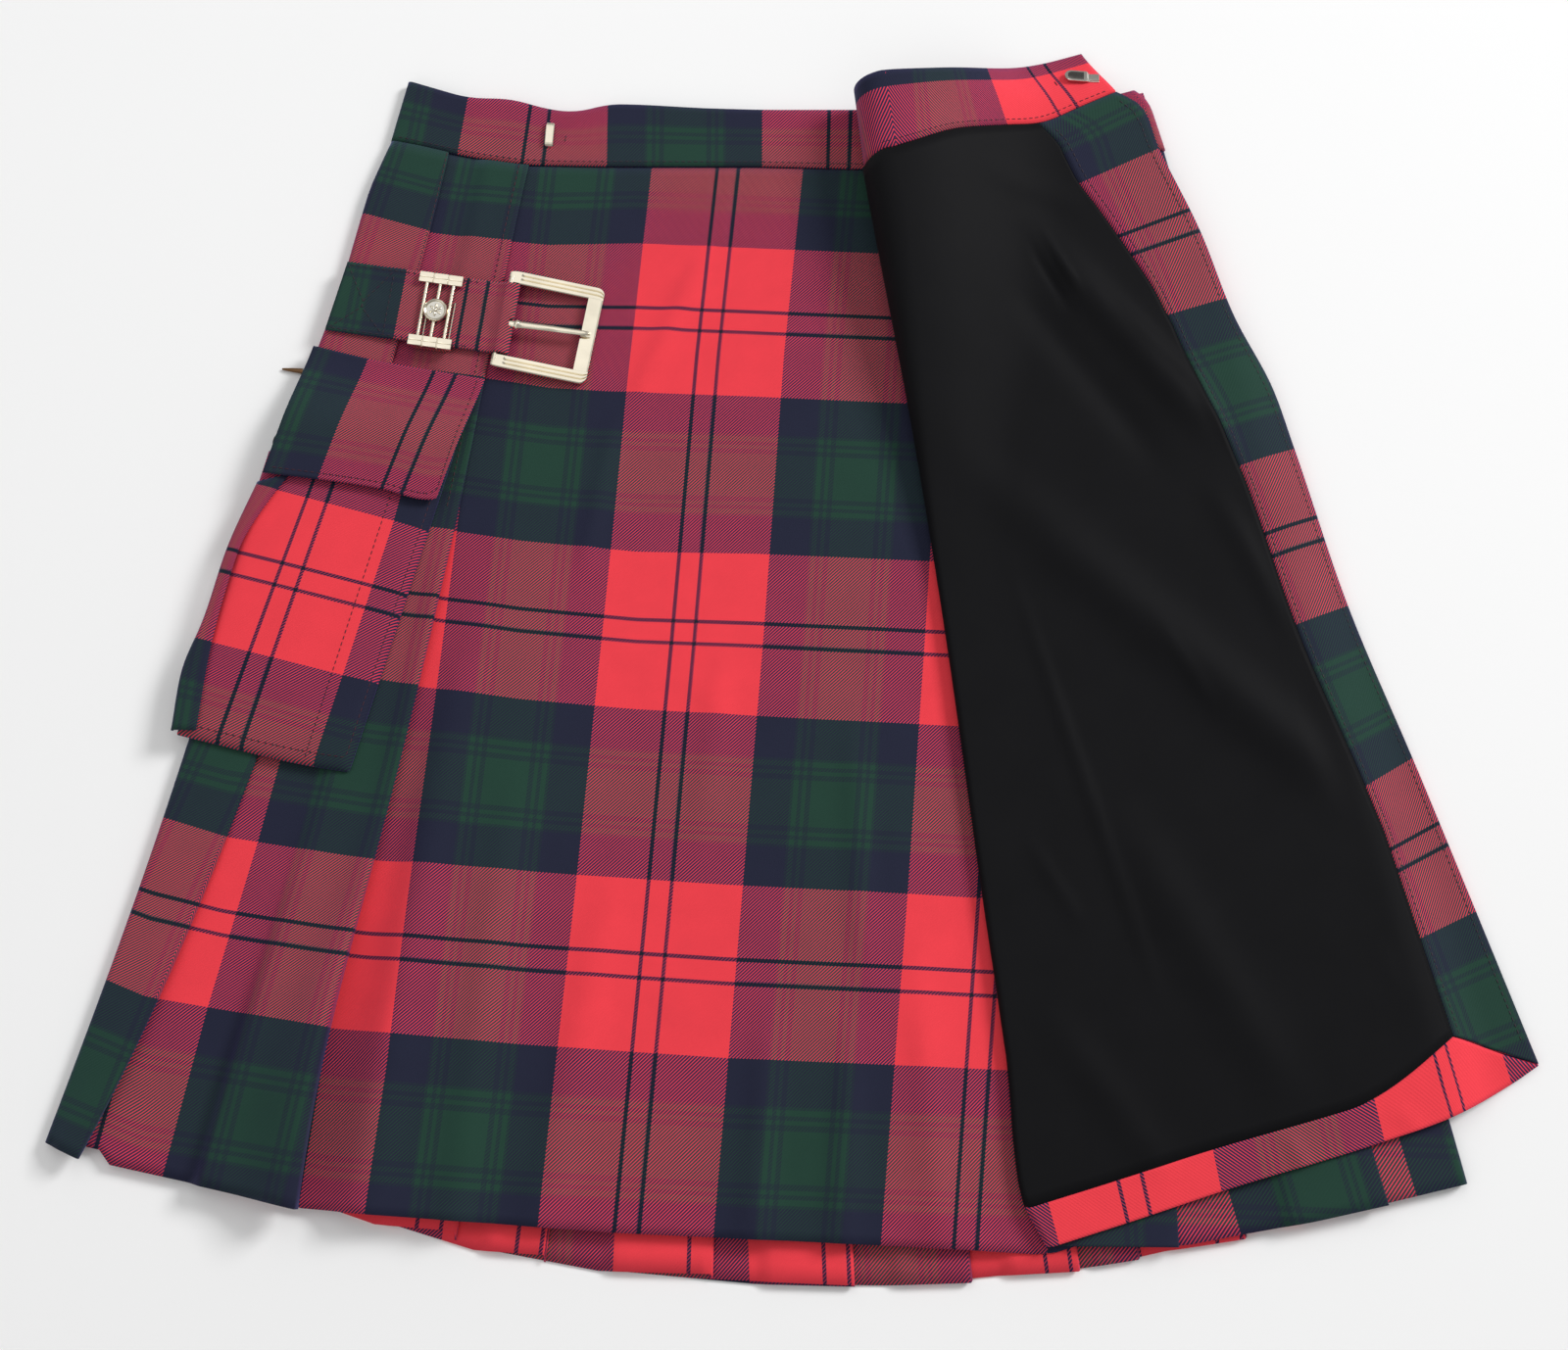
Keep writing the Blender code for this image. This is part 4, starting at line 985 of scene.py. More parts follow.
@dataclass
class ClothGrid:
    """A wall of cloth lofted through rows of points, with its place in the sett at each point."""

    name: str
    rows: Sequence
    setts: Sequence
    wall: float = 1.0
    keep: Optional[Callable] = None

    def at(self, down: float, across: float) -> Array:
        """The point on the wall's middle at shares of its rows and columns.

        Args:
            down: share of the rows.
            across: share of the columns.

        Returns:
            The point.
        """
        points = np.array([np.asarray(row, float) for row in self.rows])
        r, c = down * (len(points) - 1), across * (points.shape[1] - 1)
        r0, c0 = min(int(r), len(points) - 2), min(int(c), points.shape[1] - 2)
        upper = points[r0, c0] * (1 - c + c0) + points[r0, c0 + 1] * (c - c0)
        lower = points[r0 + 1, c0] * (1 - c + c0) + points[r0 + 1, c0 + 1] * (c - c0)
        return upper * (1 - r + r0) + lower * (r - r0)

    def build(self, material: Finish) -> Piece:
        """Makes the object.

        Args:
            material: the cloth's finish.

        Returns:
            The wall, made solid about its middle.
        """
        points = np.array([np.asarray(row, float) for row in self.rows])
        weave = np.array([np.asarray(row, float) for row in self.setts])
        count, across = points.shape[:2]
        faces = []
        for r in range(count - 1):
            for c in range(across - 1):
                corners = [(r, c), (r, c + 1), (r + 1, c + 1), (r + 1, c)]
                part = self.keep(r, c) if self.keep else "whole"
                if part == "whole":
                    faces.append(corners)
                elif part == "left":
                    faces.append(corners[:3])
                elif part == "right":
                    faces.append([corners[0], corners[2], corners[3]])
        used = sorted({corner for face in faces for corner in face})
        order = {corner: index for index, corner in enumerate(used)}
        mesh = bpy.data.meshes.new(self.name)
        vertices = [tuple(points[r, c] * MM) for r, c in used]
        mesh.from_pydata(vertices, [], [[order[corner] for corner in face] for face in faces])
        layer = mesh.uv_layers.new(name="weave")
        flat = [weave[r, c] for face in faces for r, c in face]
        layer.data.foreach_set("uv", np.array(flat, np.float32).ravel())
        mesh.shade_smooth()
        mesh.materials.append(material)
        obj = new_object(self.name, mesh)
        solid = obj.modifiers.new("Solidify", "SOLIDIFY")
        solid.thickness = self.wall * MM
        solid.offset = 0.0
        return obj


def fill_between(section: Array, known: Array) -> Array:
    """Completes places in the sett along a section, by the length of cloth between known ones.

    Args:
        section: points along the cloth.
        known: the place in the sett at each point, or nan.

    Returns:
        The place in the sett at every point.
    """
    length = run_length(section)
    have = ~np.isnan(known)
    first, last = np.nonzero(have)[0][[0, -1]]
    filled = np.interp(length, length[have], known[have])
    filled[:first] = known[first] - (length[first] - length[:first]) / SETT
    filled[last + 1:] = known[last] + (length[last + 1:] - length[last]) / SETT
    return filled


def ridden(piece: Piece, slot: Slot, *nodes: str, body: Body = Body.KILT) -> Piece:
    """Puts a piece on a body and hides the model's nodes that it stands for.

    Args:
        piece: the piece.
        slot: not used.
        body: its body.
        nodes: the nodes.

    Returns:
        The piece.
    """
    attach(piece, body.value)
    if nodes:
        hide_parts(*nodes)
    return piece


class Cut(NamedTuple):
    """What is listed for a cloth: its node, its flat size in metres, how it is held and on what, its area and slot."""

    node: str
    flat: tuple
    held: str
    rests_on: list
    area: Optional[float] = None
    slot: Slot = Slot.TARTAN


CUTS = {
    "kilt_back": Cut("back_pleats", (1.25, 0.57), "folded", [], 0.68),
    "kilt_left_pleats": Cut("left_side_pleats", (0.24, 0.57), "folded", ["kilt_back"], 0.125),
    "kilt_right_pleats": Cut("right_side_pleats", (0.21, 0.57), "folded", ["kilt_back"], 0.108),
    "kilt_under_apron": Cut("under_apron", (0.41, 0.57), "laid", ["kilt_back"], 0.219),
    "kilt_over_apron": Cut("over_apron", (0.38, 0.57), "folded", ["kilt_under_apron"], 0.197),
    "kilt_lining": Cut("over_apron_lining", (0.27, 0.55), "folded", ["kilt_over_apron"], 0.126, Slot.LINING),
    "kilt_edge_facing": Cut("over_apron_edge_facing", (0.047, 0.57), "laid", ["kilt_over_apron"], 0.0194),
    "kilt_hem_facing": Cut("over_apron_hem_facing", (0.29, 0.019), "laid", ["kilt_over_apron"], 0.0051),
    "band_back": Cut("waistband_back", (0.42, 0.034), "laid", ["kilt_back"]),
    "band_under_apron": Cut("waistband_under_apron", (0.37, 0.034), "laid", ["band_back"]),
    "band_over_apron": Cut("waistband_over_apron", (0.32, 0.034), "folded", ["band_under_apron"]),
    "pocket_front": Cut("pocket_body", (0.11, 0.17), "laid", ["kilt_left_pleats"], 0.0165),
    "pocket_bellows": Cut("pocket_side_fold", (0.013, 0.14), "folded", ["pocket_front"], 0.0015),
    "pocket_flap_cloth": Cut("pocket_flap", (0.095, 0.073), "laid", ["pocket_front"]),
    "strap_cloth": Cut("side_strap", (0.19, 0.0394), "folded", ["kilt_left_pleats"]),
}


@dataclass
class Workroom:
    """What the sub-assemblies share: the layout, the finishes and the cloths made so far."""

    plan: Layout
    finishes: Finishes
    cloths: dict

    def cloth(self, name: str, strips: list, wall: float, keep: Optional[Callable] = None) -> Piece:
        """Makes a cloth, dresses it as its cut says and keeps its grid for the seams.

        Args:
            name: its name.
            strips: its rows of points, each with their places in the sett.
            wall: its thickness.
            keep: what is kept of each cell.

        Returns:
            The cloth.
        """
        cut = CUTS[name]
        self.cloths[name] = ClothGrid(name, *zip(*strips), wall, keep)
        piece = self.cloths[name].build(self.finishes.lining if cut.slot is Slot.LINING else self.finishes.tartan)
        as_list(cut.rests_on)
        return ridden(piece, cut.slot, cut.node)


@dataclass
class PleatedCloth(Workroom):
    """The pleated length: the back, and the pleats on the front's two sides."""

    wall: float = 1.0
    notch_wide: float = 10.5
    notch_tall: float = 6.3
    notch_from: float = 0.97
    back_shift: float = 0.14
    past_turn: float = 3.0
    puff_from: float = 0.62
    puff_grows: float = 0.3
    free_from: float = 0.34
    free_grows: float = 0.12
    first_puff: float = 4.6
    second_puff: float = 2.6
    free_puff: float = 3.8
    free_wide: float = 8.0
    puff_wide: float = 14.0
    puff_swell: float = 6.5
    right_edge_sett: float = 0.925
    right_turn_sett: float = 0.5
    right_turn_at: float = 15.0

    def back(self) -> Piece:
        """The whole back, pleated from one side seam to the other.

        Returns:
            The cloth.
        """
        plan, strips = self.plan, []
        checks, hem = Checks(rows=FRONT_ROWS), plan.stepped_back_hem
        for drop in plan.drops(count=60):
            left = plan.left_x(drop) + plan.left_wrap + plan.seam_gap
            right = plan.right_x(drop) - plan.right_wrap - plan.seam_gap
            section, known, before = [(left, plan.back_low)], [np.nan], left
            for row in plan.back_pleats:
                edge = row.waist + (row.hem - row.waist) * drop
                depth = plan.pleat_fill * (edge - before)
                fold = plan.pleat(edge, depth, plan.back_low, steps=4)
                section += fold
                if len(known) > 1:
                    known[-1] = row.sett + (section[-len(fold) - 1][0] - edge) / SETT
                for index, (x, _) in enumerate(fold):
                    known.append(row.sett + (x - edge) / SETT if index < FACE_POINTS else np.nan)
                before = edge
            section.append((right, plan.back_low))
            known.append(np.nan)
            section = np.array(section)
            row = plan.placed(drop, section, hem)
            u = fill_between(section, np.array(known))
            strips.append((row, np.column_stack([u, checks.down(row) + self.back_shift])))
        return self.cloth("kilt_back", strips, self.wall)

    def left(self) -> Piece:
        """Two pleats of the front's left, with the turn round the left side.

        Returns:
            The cloth.
        """
        plan, strips = self.plan, []
        first_checks = Checks(LEFT_PLEAT_1_COLUMNS, FRONT_ROWS)
        second_checks = Checks(LEFT_PLEAT_2_COLUMNS, FRONT_ROWS)
        turn = plan.left_wrap
        for drop in plan.drops():
            side = plan.left_x(drop)
            first, second = plan.rib_x(plan.left_pleat_1, drop), plan.rib_x(plan.left_pleat_2, drop)
            hidden = side + turn + self.past_turn
            wrap = arc(side + turn, plan.back_low + turn, turn, 270, 90, 12)
            puff = eased((drop - self.puff_from) / self.puff_grows)
            free = eased((drop - self.free_from) / self.free_grows)
            upper = plan.pleat(first, first - hidden, plan.front_low, puff=self.first_puff * puff)[CLIMB_POINTS:]
            lower = plan.pleat(
                second, plan.left_pleat_depth(drop), plan.front_low,
                puff=self.free_puff * free + self.second_puff * puff, wide=self.free_wide + self.puff_wide * puff,
            )
            lower = [(x, z + float(swell(x, first, self.puff_swell * puff)) * (z - plan.front_low) / (2 * plan.ply))
                     for x, z in lower]
            near = [(x, plan.front_low) for x in np.linspace(hidden + 4, lower[0][0], 12)[1:-1]]
            section = np.array(wrap + upper + near + lower + [(plan.under_apron_start(drop), plan.front_low)])
            row = plan.placed(drop, section, plan.front_hem)
            inner = (np.arange(len(section)) >= len(wrap) + len(upper)) & (section[:, 0] < first + self.notch_wide)
            row[inner, 1] += self.notch_tall * max((drop - self.notch_from) / (1 - self.notch_from), 0.0)
            known = np.full(len(section), np.nan)
            one = slice(len(wrap) - 4, len(wrap) + 8)
            two = slice(len(wrap) + len(upper), len(wrap) + len(upper) + len(near) + FACE_POINTS)
            known[one] = first_checks.across(row[one])
            known[two] = second_checks.across(row[two])
            strips.append((row, np.column_stack([fill_between(section, known), first_checks.down(row)])))
        return self.cloth("kilt_left_pleats", strips, self.wall)

    def right(self) -> Piece:
        """The pleats between the over apron and the back, with the turn round the right side.

        Returns:
            The cloth.
        """
        plan, strips = self.plan, []
        checks = Checks(rows=FRONT_ROWS)
        turn = plan.right_wrap
        for drop in plan.drops():
            side = plan.right_x(drop)
            edge = plan.rib_x(plan.right_pleat_2, drop)
            fold = plan.pleat(edge, plan.right_pleat_depth(drop), plan.right_low)
            wrap = arc(side - turn, plan.back_low + turn, turn, 90, -90, 12)
            start = plan.over_apron_end(drop) + plan.seam_gap
            near = [(x, plan.right_low) for x in np.linspace(start, fold[0][0], 6)[:-1]]
            section = np.array(near + fold + wrap)
            row = plan.placed(drop, section, plan.over_hem)
            known = np.full(len(section), np.nan)
            one = slice(0, len(near) + FACE_POINTS)
            known[one] = self.right_edge_sett - (edge - section[one, 0]) / SETT
            two = slice(len(near) + len(fold) - 1, len(near) + len(fold) + 4)
            known[two] = self.right_turn_sett + (section[two, 0] - (edge + self.right_turn_at)) / SETT
            strips.append((row, np.column_stack([fill_between(section, known), checks.down(row)])))
        return self.cloth("kilt_right_pleats", strips, self.wall)


@dataclass
class UnderApron(Workroom):
    """The flat inner apron, with soft folds in its lower half."""

    wall: float = 1.0
    creases: tuple = (
        Crease(-165, 60, -214, -300, 12, 3.2),
        Crease(-138, -30, -170, -310, 10, 4.2),
        Crease(-84, -90, -128, -305, 11, 3.6),
        Crease(-90, 145, -108, 50, 6, 2.4),
        Crease(-34, 10, -46, -90, 8, 2.0),
        Crease(-10, -170, -20, -310, 8, 3.6),
        Crease(32, -20, 36, -160, 7, 2.6),
        Crease(30, -180, 24, -312, 7, 3.4),
        Crease(-34, 244, -82, 140, 5.5, 2.1),
        Crease(64, -150, 74, -310, 8, 2.4),
    )
    swell_height: float = 9.5
    swell_from: float = 0.28
    swell_grows: float = 0.5

    def build(self) -> Piece:
        """Makes the apron.

        Returns:
            The cloth.
        """
        plan, strips = self.plan, []
        checks = Checks(UNDER_APRON_COLUMNS, FRONT_ROWS)
        for drop in plan.drops(count=110):
            start = plan.under_apron_start(drop) + plan.seam_gap
            fold = plan.fold_x(drop) - 5
            end = plan.rib_x(plan.under_apron_end, drop)
            x = np.concatenate([np.linspace(start, fold, 84), np.linspace(fold, end, 8)[1:]])
            y = plan.body_y(drop, x, plan.front_hem)
            clear = plan.rib_x(plan.left_pleat_2, drop) + 5
            show = smoothstep((x - clear) / 18.0) * smoothstep((fold - x) / 18.0)
            z = plan.front_low + ridge(self.creases, x, y) * show
            rise = self.swell_height * eased((drop - self.swell_from) / self.swell_grows)
            z = z + swell(x, clear - 3, rise) * smoothstep((fold - x) / 40.0)
            row = np.column_stack([x, y, z])
            strips.append((row, checks.weave(row)))
        return self.cloth("kilt_under_apron", strips, self.wall)


@dataclass
class OverApron(Workroom):
    """The over apron, turned back over a roll: tartan below, lining and facings above."""

    wall: float = 1.0
    across_steps: int = 70
    edge_steps: int = 14
    creases: tuple = (
        Crease(70, 118, 262, -56, 14, 4.4),
        Crease(118, 244, 212, 130, 10, 4.6),
        Crease(169, 192, 213, 146, 3.6, 1.5),
        Crease(213, 146, 240, 101, 3.6, 1.3),
        Crease(112, 208, 186, 112, 9, -2.6),
        Crease(136, 226, 152, 198, 2.2, 1.7),
        Crease(128, 220, 146, 190, 2.4, -1.4),
        Crease(109, 58, 176, -150, 3.4, 1.3),
        Crease(118, -100, 144, -140, 3.0, 1.2),
        Crease(188, 14, 216, -28, 3.0, 1.0),
        Crease(278, -40, 322, -160, 5, 2.2),
        Crease(150, -60, 240, -215, 14, 2.8),
        Crease(92, 262, 150, 246, 5, 1.0),
        Crease(215, 96, 262, 10, 7, 1.8),
        Crease(296, -150, 330, -205, 6, 1.5),
        Crease(120, -180, 180, -262, 10, 2.0),
        Crease(247, -248, 258, -272, 3.5, 1.6),
        Crease(300, -236, 318, -254, 5, 0.8),
    )
    edge_sett: float = 0.97
    facing_sett: float = 0.83
    hem_sett: float = 0.03
    pleat_points: int = 21
    edge_point: int = 14
    corner_rise: float = 0.031
    turn_drop: float = 6.5

    def drops(self) -> Array:
        """Stations down to the turned-up hem, then the hem's own.

        Returns:
            Shares of the drop.
        """
        plan = self.plan
        return np.concatenate([
            plan.drops(plan.hem_share),
            np.linspace(plan.hem_share, 1, self.edge_steps + 1)[1:],
        ])

    def shares(self, drop: float) -> Array:
        """Shares across the opened part: the lining's, then the edge facing's.

        Args:
            drop: share of the drop.

        Returns:
            The shares.
        """
        inner = self.plan.facing_share(drop)
        return np.concatenate([
            np.linspace(0, inner, self.across_steps + 1)[1:],
            np.linspace(inner, 1, self.edge_steps + 1)[1:],
        ])

    def opened(self, drop: float, across: Array, lift: float) -> Array:
        """Points of a layer of the opened apron, lift above its tartan's middle.

        Args:
            drop: share of the drop.
            across: shares across.
            lift: the lift.

        Returns:
            The points.
        """
        peak = max(1 - abs(drop - self.plan.hem_share) / (0.15 if drop < self.plan.hem_share else 0.0333), 0.0)
        plan = self.plan.open_plan(drop, across)
        if peak > 0:
            moved = drop - self.corner_rise * peak * smoothstep((np.asarray(across, float) - 0.62) / 0.3)
            plan = np.array([self.plan.open_plan(float(d), [float(a)])[0] for d, a in zip(moved, across)])
        from_fold = np.hypot(*(plan - self.plan.fold_line(drop)).T)
        z = self.plan.open_height(drop, plan, from_fold)
        z = z + ridge(self.creases, plan[:, 0], plan[:, 1]) * self.plan.calm(plan, from_fold)
        return np.column_stack([plan, z + lift])

    def roll(self, drop: float, lift: float) -> Array:
        """The turn of the apron about its fold, lift outside the tartan's middle.

        Args:
            drop: share of the drop.
            lift: the lift.

        Returns:
            The points.
        """
        radius = self.plan.roll_radius(drop)
        x, y = self.plan.fold_line(drop)
        section = arc(x, self.plan.apron_up + radius, radius + lift, 270, 90, 18)
        sag = self.turn_drop * (1 - eased(drop / 0.3))
        shares = np.linspace(0, 1, len(section))
        return np.array([(px, y - sag * math.sin(math.pi * t) ** 2, pz) for (px, pz), t in zip(section, shares)])

    def below_face(self, drop: float) -> Array:
        """The hidden stretch of lining or hem under the apron's face, from right to left.

        Args:
            drop: share of the drop.

        Returns:
            The points.
        """
        plan = self.plan
        start = plan.rib_x(plan.right_pleat_1, drop) - plan.right_pleat_depth(drop) - plan.pleat_ramp
        x = np.linspace(start, plan.fold_line(drop)[0], 6)[:-1]
        return plan.placed(drop, [(value, plan.apron_up - plan.ply) for value in x], plan.over_hem)

    def tartan(self) -> Piece:
        """The tartan layer: a hidden pleat, the face, the roll and the opened part.

        Returns:
            The cloth.
        """
        plan, strips = self.plan, []
        checks = Checks(rows=FRONT_ROWS)
        facing = Checks(rows=FACING_ROWS)
        for drop in self.drops():
            end, edge = plan.over_apron_end(drop), plan.rib_x(plan.right_pleat_1, drop)
            depth = plan.right_pleat_depth(drop)
            hidden = edge - depth
            fold = plan.pleat(edge, depth, plan.right_low)[::-1][:self.pleat_points]
            face = [(hidden - plan.cloth, plan.right_low + 2 * plan.ply), (hidden - plan.pleat_ramp, plan.apron_up)]
            under = plan.placed(drop, [(end, plan.right_low)] + fold + face, plan.over_hem)
            turn = self.roll(drop, 0.0)
            out = self.opened(drop, self.shares(drop), 0.0)
            row = np.vstack([under, turn, out])
            length = run_length(row)
            u = self.edge_sett - (length - length[self.edge_point]) / SETT
            near = checks.down(row[: len(under) + len(turn)])
            far = facing.down(out)
            share = np.linspace(0, 1, len(out))
            v = near[-1] + (far - near[-1]) * smoothstep(share * 1.2)
            strips.append((row, np.column_stack([u, np.concatenate([near, v])])))
        return self.cloth("kilt_over_apron", strips, self.wall)

    def lining(self) -> Piece:
        """The black lining, from below the face round the roll to the facings.

        Returns:
            The cloth.
        """
        plan, strips = self.plan, []
        stations = plan.drops(plan.hem_share)
        stations[-1] -= plan.seam_gap / plan.drop
        for drop in stations:
            across = self.shares(drop)[: self.across_steps]
            across[-1] -= plan.seam_gap / plan.open_width(drop)
            row = np.vstack([self.below_face(drop), self.roll(drop, plan.ply), self.opened(drop, across, plan.ply)])
            strips.append((row, row[:, :2] / SETT))
        return self.cloth("kilt_lining", strips, self.wall)

    def edge_facing(self) -> Piece:
        """The tartan strip along the free edge, ending in a mitre at the corner.

        Returns:
            The cloth.
        """
        plan, strips = self.plan, []
        checks = Checks(rows=FACING_ROWS)
        stations = self.drops()
        first = DOWN_STEPS - 1
        for index, station in enumerate(stations):
            row = []
            for column, share in enumerate(self.shares(station)[self.across_steps - 1:]):
                seam = index - first == column
                drop = station - (1.5 * plan.seam_gap / plan.drop if seam else 0)
                row.append(self.opened(drop, [share], plan.ply)[0])
            row = np.array(row)
            from_edge = np.hypot(*(row[:, :2] - row[-1, :2]).T)
            strips.append((row, np.column_stack([self.facing_sett - from_edge / SETT, checks.down(row)])))

        def keep(row: int, column: int) -> str:
            """Which half of a cell is left of the mitre."""
            past = row - first - column
            return "whole" if past < 0 else "left" if past == 0 else ""

        return self.cloth("kilt_edge_facing", strips, self.wall, keep)

    def hem_facing(self) -> Piece:
        """The turned-up tartan hem, from below the face round the roll to the mitre.

        Returns:
            The cloth.
        """
        plan, strips = self.plan, []
        checks = Checks(HEM_STRIP_COLUMNS)
        stations = self.drops()[DOWN_STEPS - 1:]
        for index, drop in enumerate(stations):
            across = self.shares(drop)
            across[self.across_steps - 1 + index] -= plan.seam_gap / plan.open_width(drop)
            row = np.vstack([self.below_face(drop), self.roll(drop, plan.ply), self.opened(drop, across, plan.ply)])
            down = self.hem_sett + (1 - drop) * plan.drop / SETT
            strips.append((row, np.column_stack([checks.across(row), np.full(len(row), down)])))
        corner = len(strips[0][0]) - self.edge_steps - 1

        def keep(row: int, column: int) -> str:
            """Which half of a cell is below the mitre."""
            past = column - corner - row
            return "whole" if past < 0 else "right" if past == 0 else ""

        return self.cloth("kilt_hem_facing", strips, self.wall, keep)


@dataclass
class Waistband(Workroom):
    """The waistband in three stretches."""

    rises: int = 12
    seam_sett: float = 0.755
    rise_setts: float = 0.195
    top_sets_in: float = 5.0
    turn_sag: float = 6.5

    def _row(self, rise: float, section: Points) -> Array:
        """Section points (x, z) of the band, rise being 0 at the seam and 1 at its top edge.

        Args:
            rise: share of the height.
            section: the section.

        Returns:
            The points.
        """
        plan = self.plan
        section = np.asarray(section, float)
        seam, top = np.asarray(plan.front_seam, float), np.asarray(plan.front_band_top, float)
        taps = section[:, 0] + np.linspace(-8, 8, 9)[:, None]
        low, high = along(seam, taps).mean(0), along(top, taps).mean(0)
        gap = plan.seam_gap * (1 - rise)
        return np.column_stack([section[:, 0], low + gap + (high - low - gap) * rise, section[:, 1]])

    def _down(self, row: Array, rise: float) -> Array:
        """Places in the sett down the band, the same all along a row."""
        return np.full(len(row), self.seam_sett - rise * self.rise_setts)

    def _sides(self, rise: float) -> tuple:
        """x of the two sides of the band at a rise."""
        seam, top = self.plan.front_seam, self.plan.front_band_top
        return tuple(seam[end][0] + rise * (top[end][0] - seam[end][0]) for end in (0, -1))

    def back(self) -> Piece:
        """The band across the back.

        Returns:
            The cloth.
        """
        plan, strips = self.plan, []
        middle = plan.band_cloth / 2
        for rise in np.linspace(0, 1, self.rises):
            left, right = self._sides(rise)
            low = left + (plan.under_band - middle) / 2 + plan.seam_gap
            high = right - (plan.over_band - middle) / 2 - plan.seam_gap
            row = self._row(rise, [(x, middle) for x in np.linspace(low, high, 90)])
            strips.append((row, np.column_stack([row[:, 0] / SETT, self._down(row, rise)])))
        return self.cloth("band_back", strips, plan.band_cloth)

    def under(self) -> Piece:
        """The band of the left side and the under apron.

        Returns:
            The cloth.
        """
        plan, strips = self.plan, []
        checks = Checks(LEFT_BAND_COLUMNS)
        middle = plan.band_cloth / 2
        turn = (plan.under_band - middle) / 2
        for rise in np.linspace(0, 1, self.rises):
            left, _ = self._sides(rise)
            section = arc(left + turn, middle + turn, turn, 270, 90, 12)
            x = np.linspace(left + turn, plan.under_apron_end.waist, 90)[1:]
            section = np.array(section + [(value, plan.under_band) for value in x])
            row = self._row(rise, section)
            known = checks.across(row)
            known[:10] = np.nan
            strips.append((row, np.column_stack([fill_between(section, known), self._down(row, rise)])))
        return self.cloth("band_under_apron", strips, plan.band_cloth)

    def over(self) -> Piece:
        """The band of the right side and the over apron, turned back with it.

        Returns:
            The cloth.
        """
        plan, strips = self.plan, []
        checks = Checks(OPEN_BAND_COLUMNS)
        middle = plan.band_cloth / 2
        side_turn = (plan.over_band - middle) / 2
        across = np.linspace(0, 1, 60)
        seam, top = plan.open_plan(0.0, across), curve_through(plan.open_band_top, across)
        for rise in np.linspace(0, 1, self.rises):
            _, right = self._sides(rise)
            right -= plan.right_sets_in + self.top_sets_in * max((rise - 0.6) / 0.4, 0.0) ** 2.5
            side = arc(right - side_turn, middle + side_turn, side_turn, -90, 90, 12)
            front = self._row(rise, side + [(x, plan.over_band) for x in (180, 172, 150, 130, 105, 80)])
            flat = seam + (top - seam) * rise + np.array([0, plan.seam_gap * (1 - rise)])
            from_fold = np.hypot(*(flat - flat[0]).T)
            z = plan.open_height(0.0, flat, from_fold) + plan.ply / 2
            radius = (z[0] - plan.over_band) / 2
            turn = np.array(arc(flat[0, 0], plan.over_band + radius, radius, 270, 90, 18))
            base = self._row(rise, [(flat[0, 0], plan.over_band)])[0, 1]
            shares = np.linspace(0, 1, len(turn))
            sag = self.turn_sag * (1 - rise) ** 1.5 * np.sin(np.pi * shares) ** 2
            y = np.linspace(base, flat[0, 1], len(turn)) - sag
            rolled = np.column_stack([turn[:, 0], y, turn[:, 1]])
            out = np.column_stack([flat, z])[1:]
            row = np.vstack([front, rolled, out])
            known = np.full(len(row), np.nan)
            known[-len(out):] = 0.5 - checks.across(out)
            u = fill_between(row, known)
            u[:len(side)] = 0.02 + 0.01 * np.arange(len(side))
            v = np.full(len(row), self.rise_setts * (0.78 - rise))
            v[:len(front)] = self.seam_sett - rise * self.rise_setts
            strips.append((row, np.column_stack([u, v])))
        return self.cloth("band_over_apron", strips, plan.band_cloth)


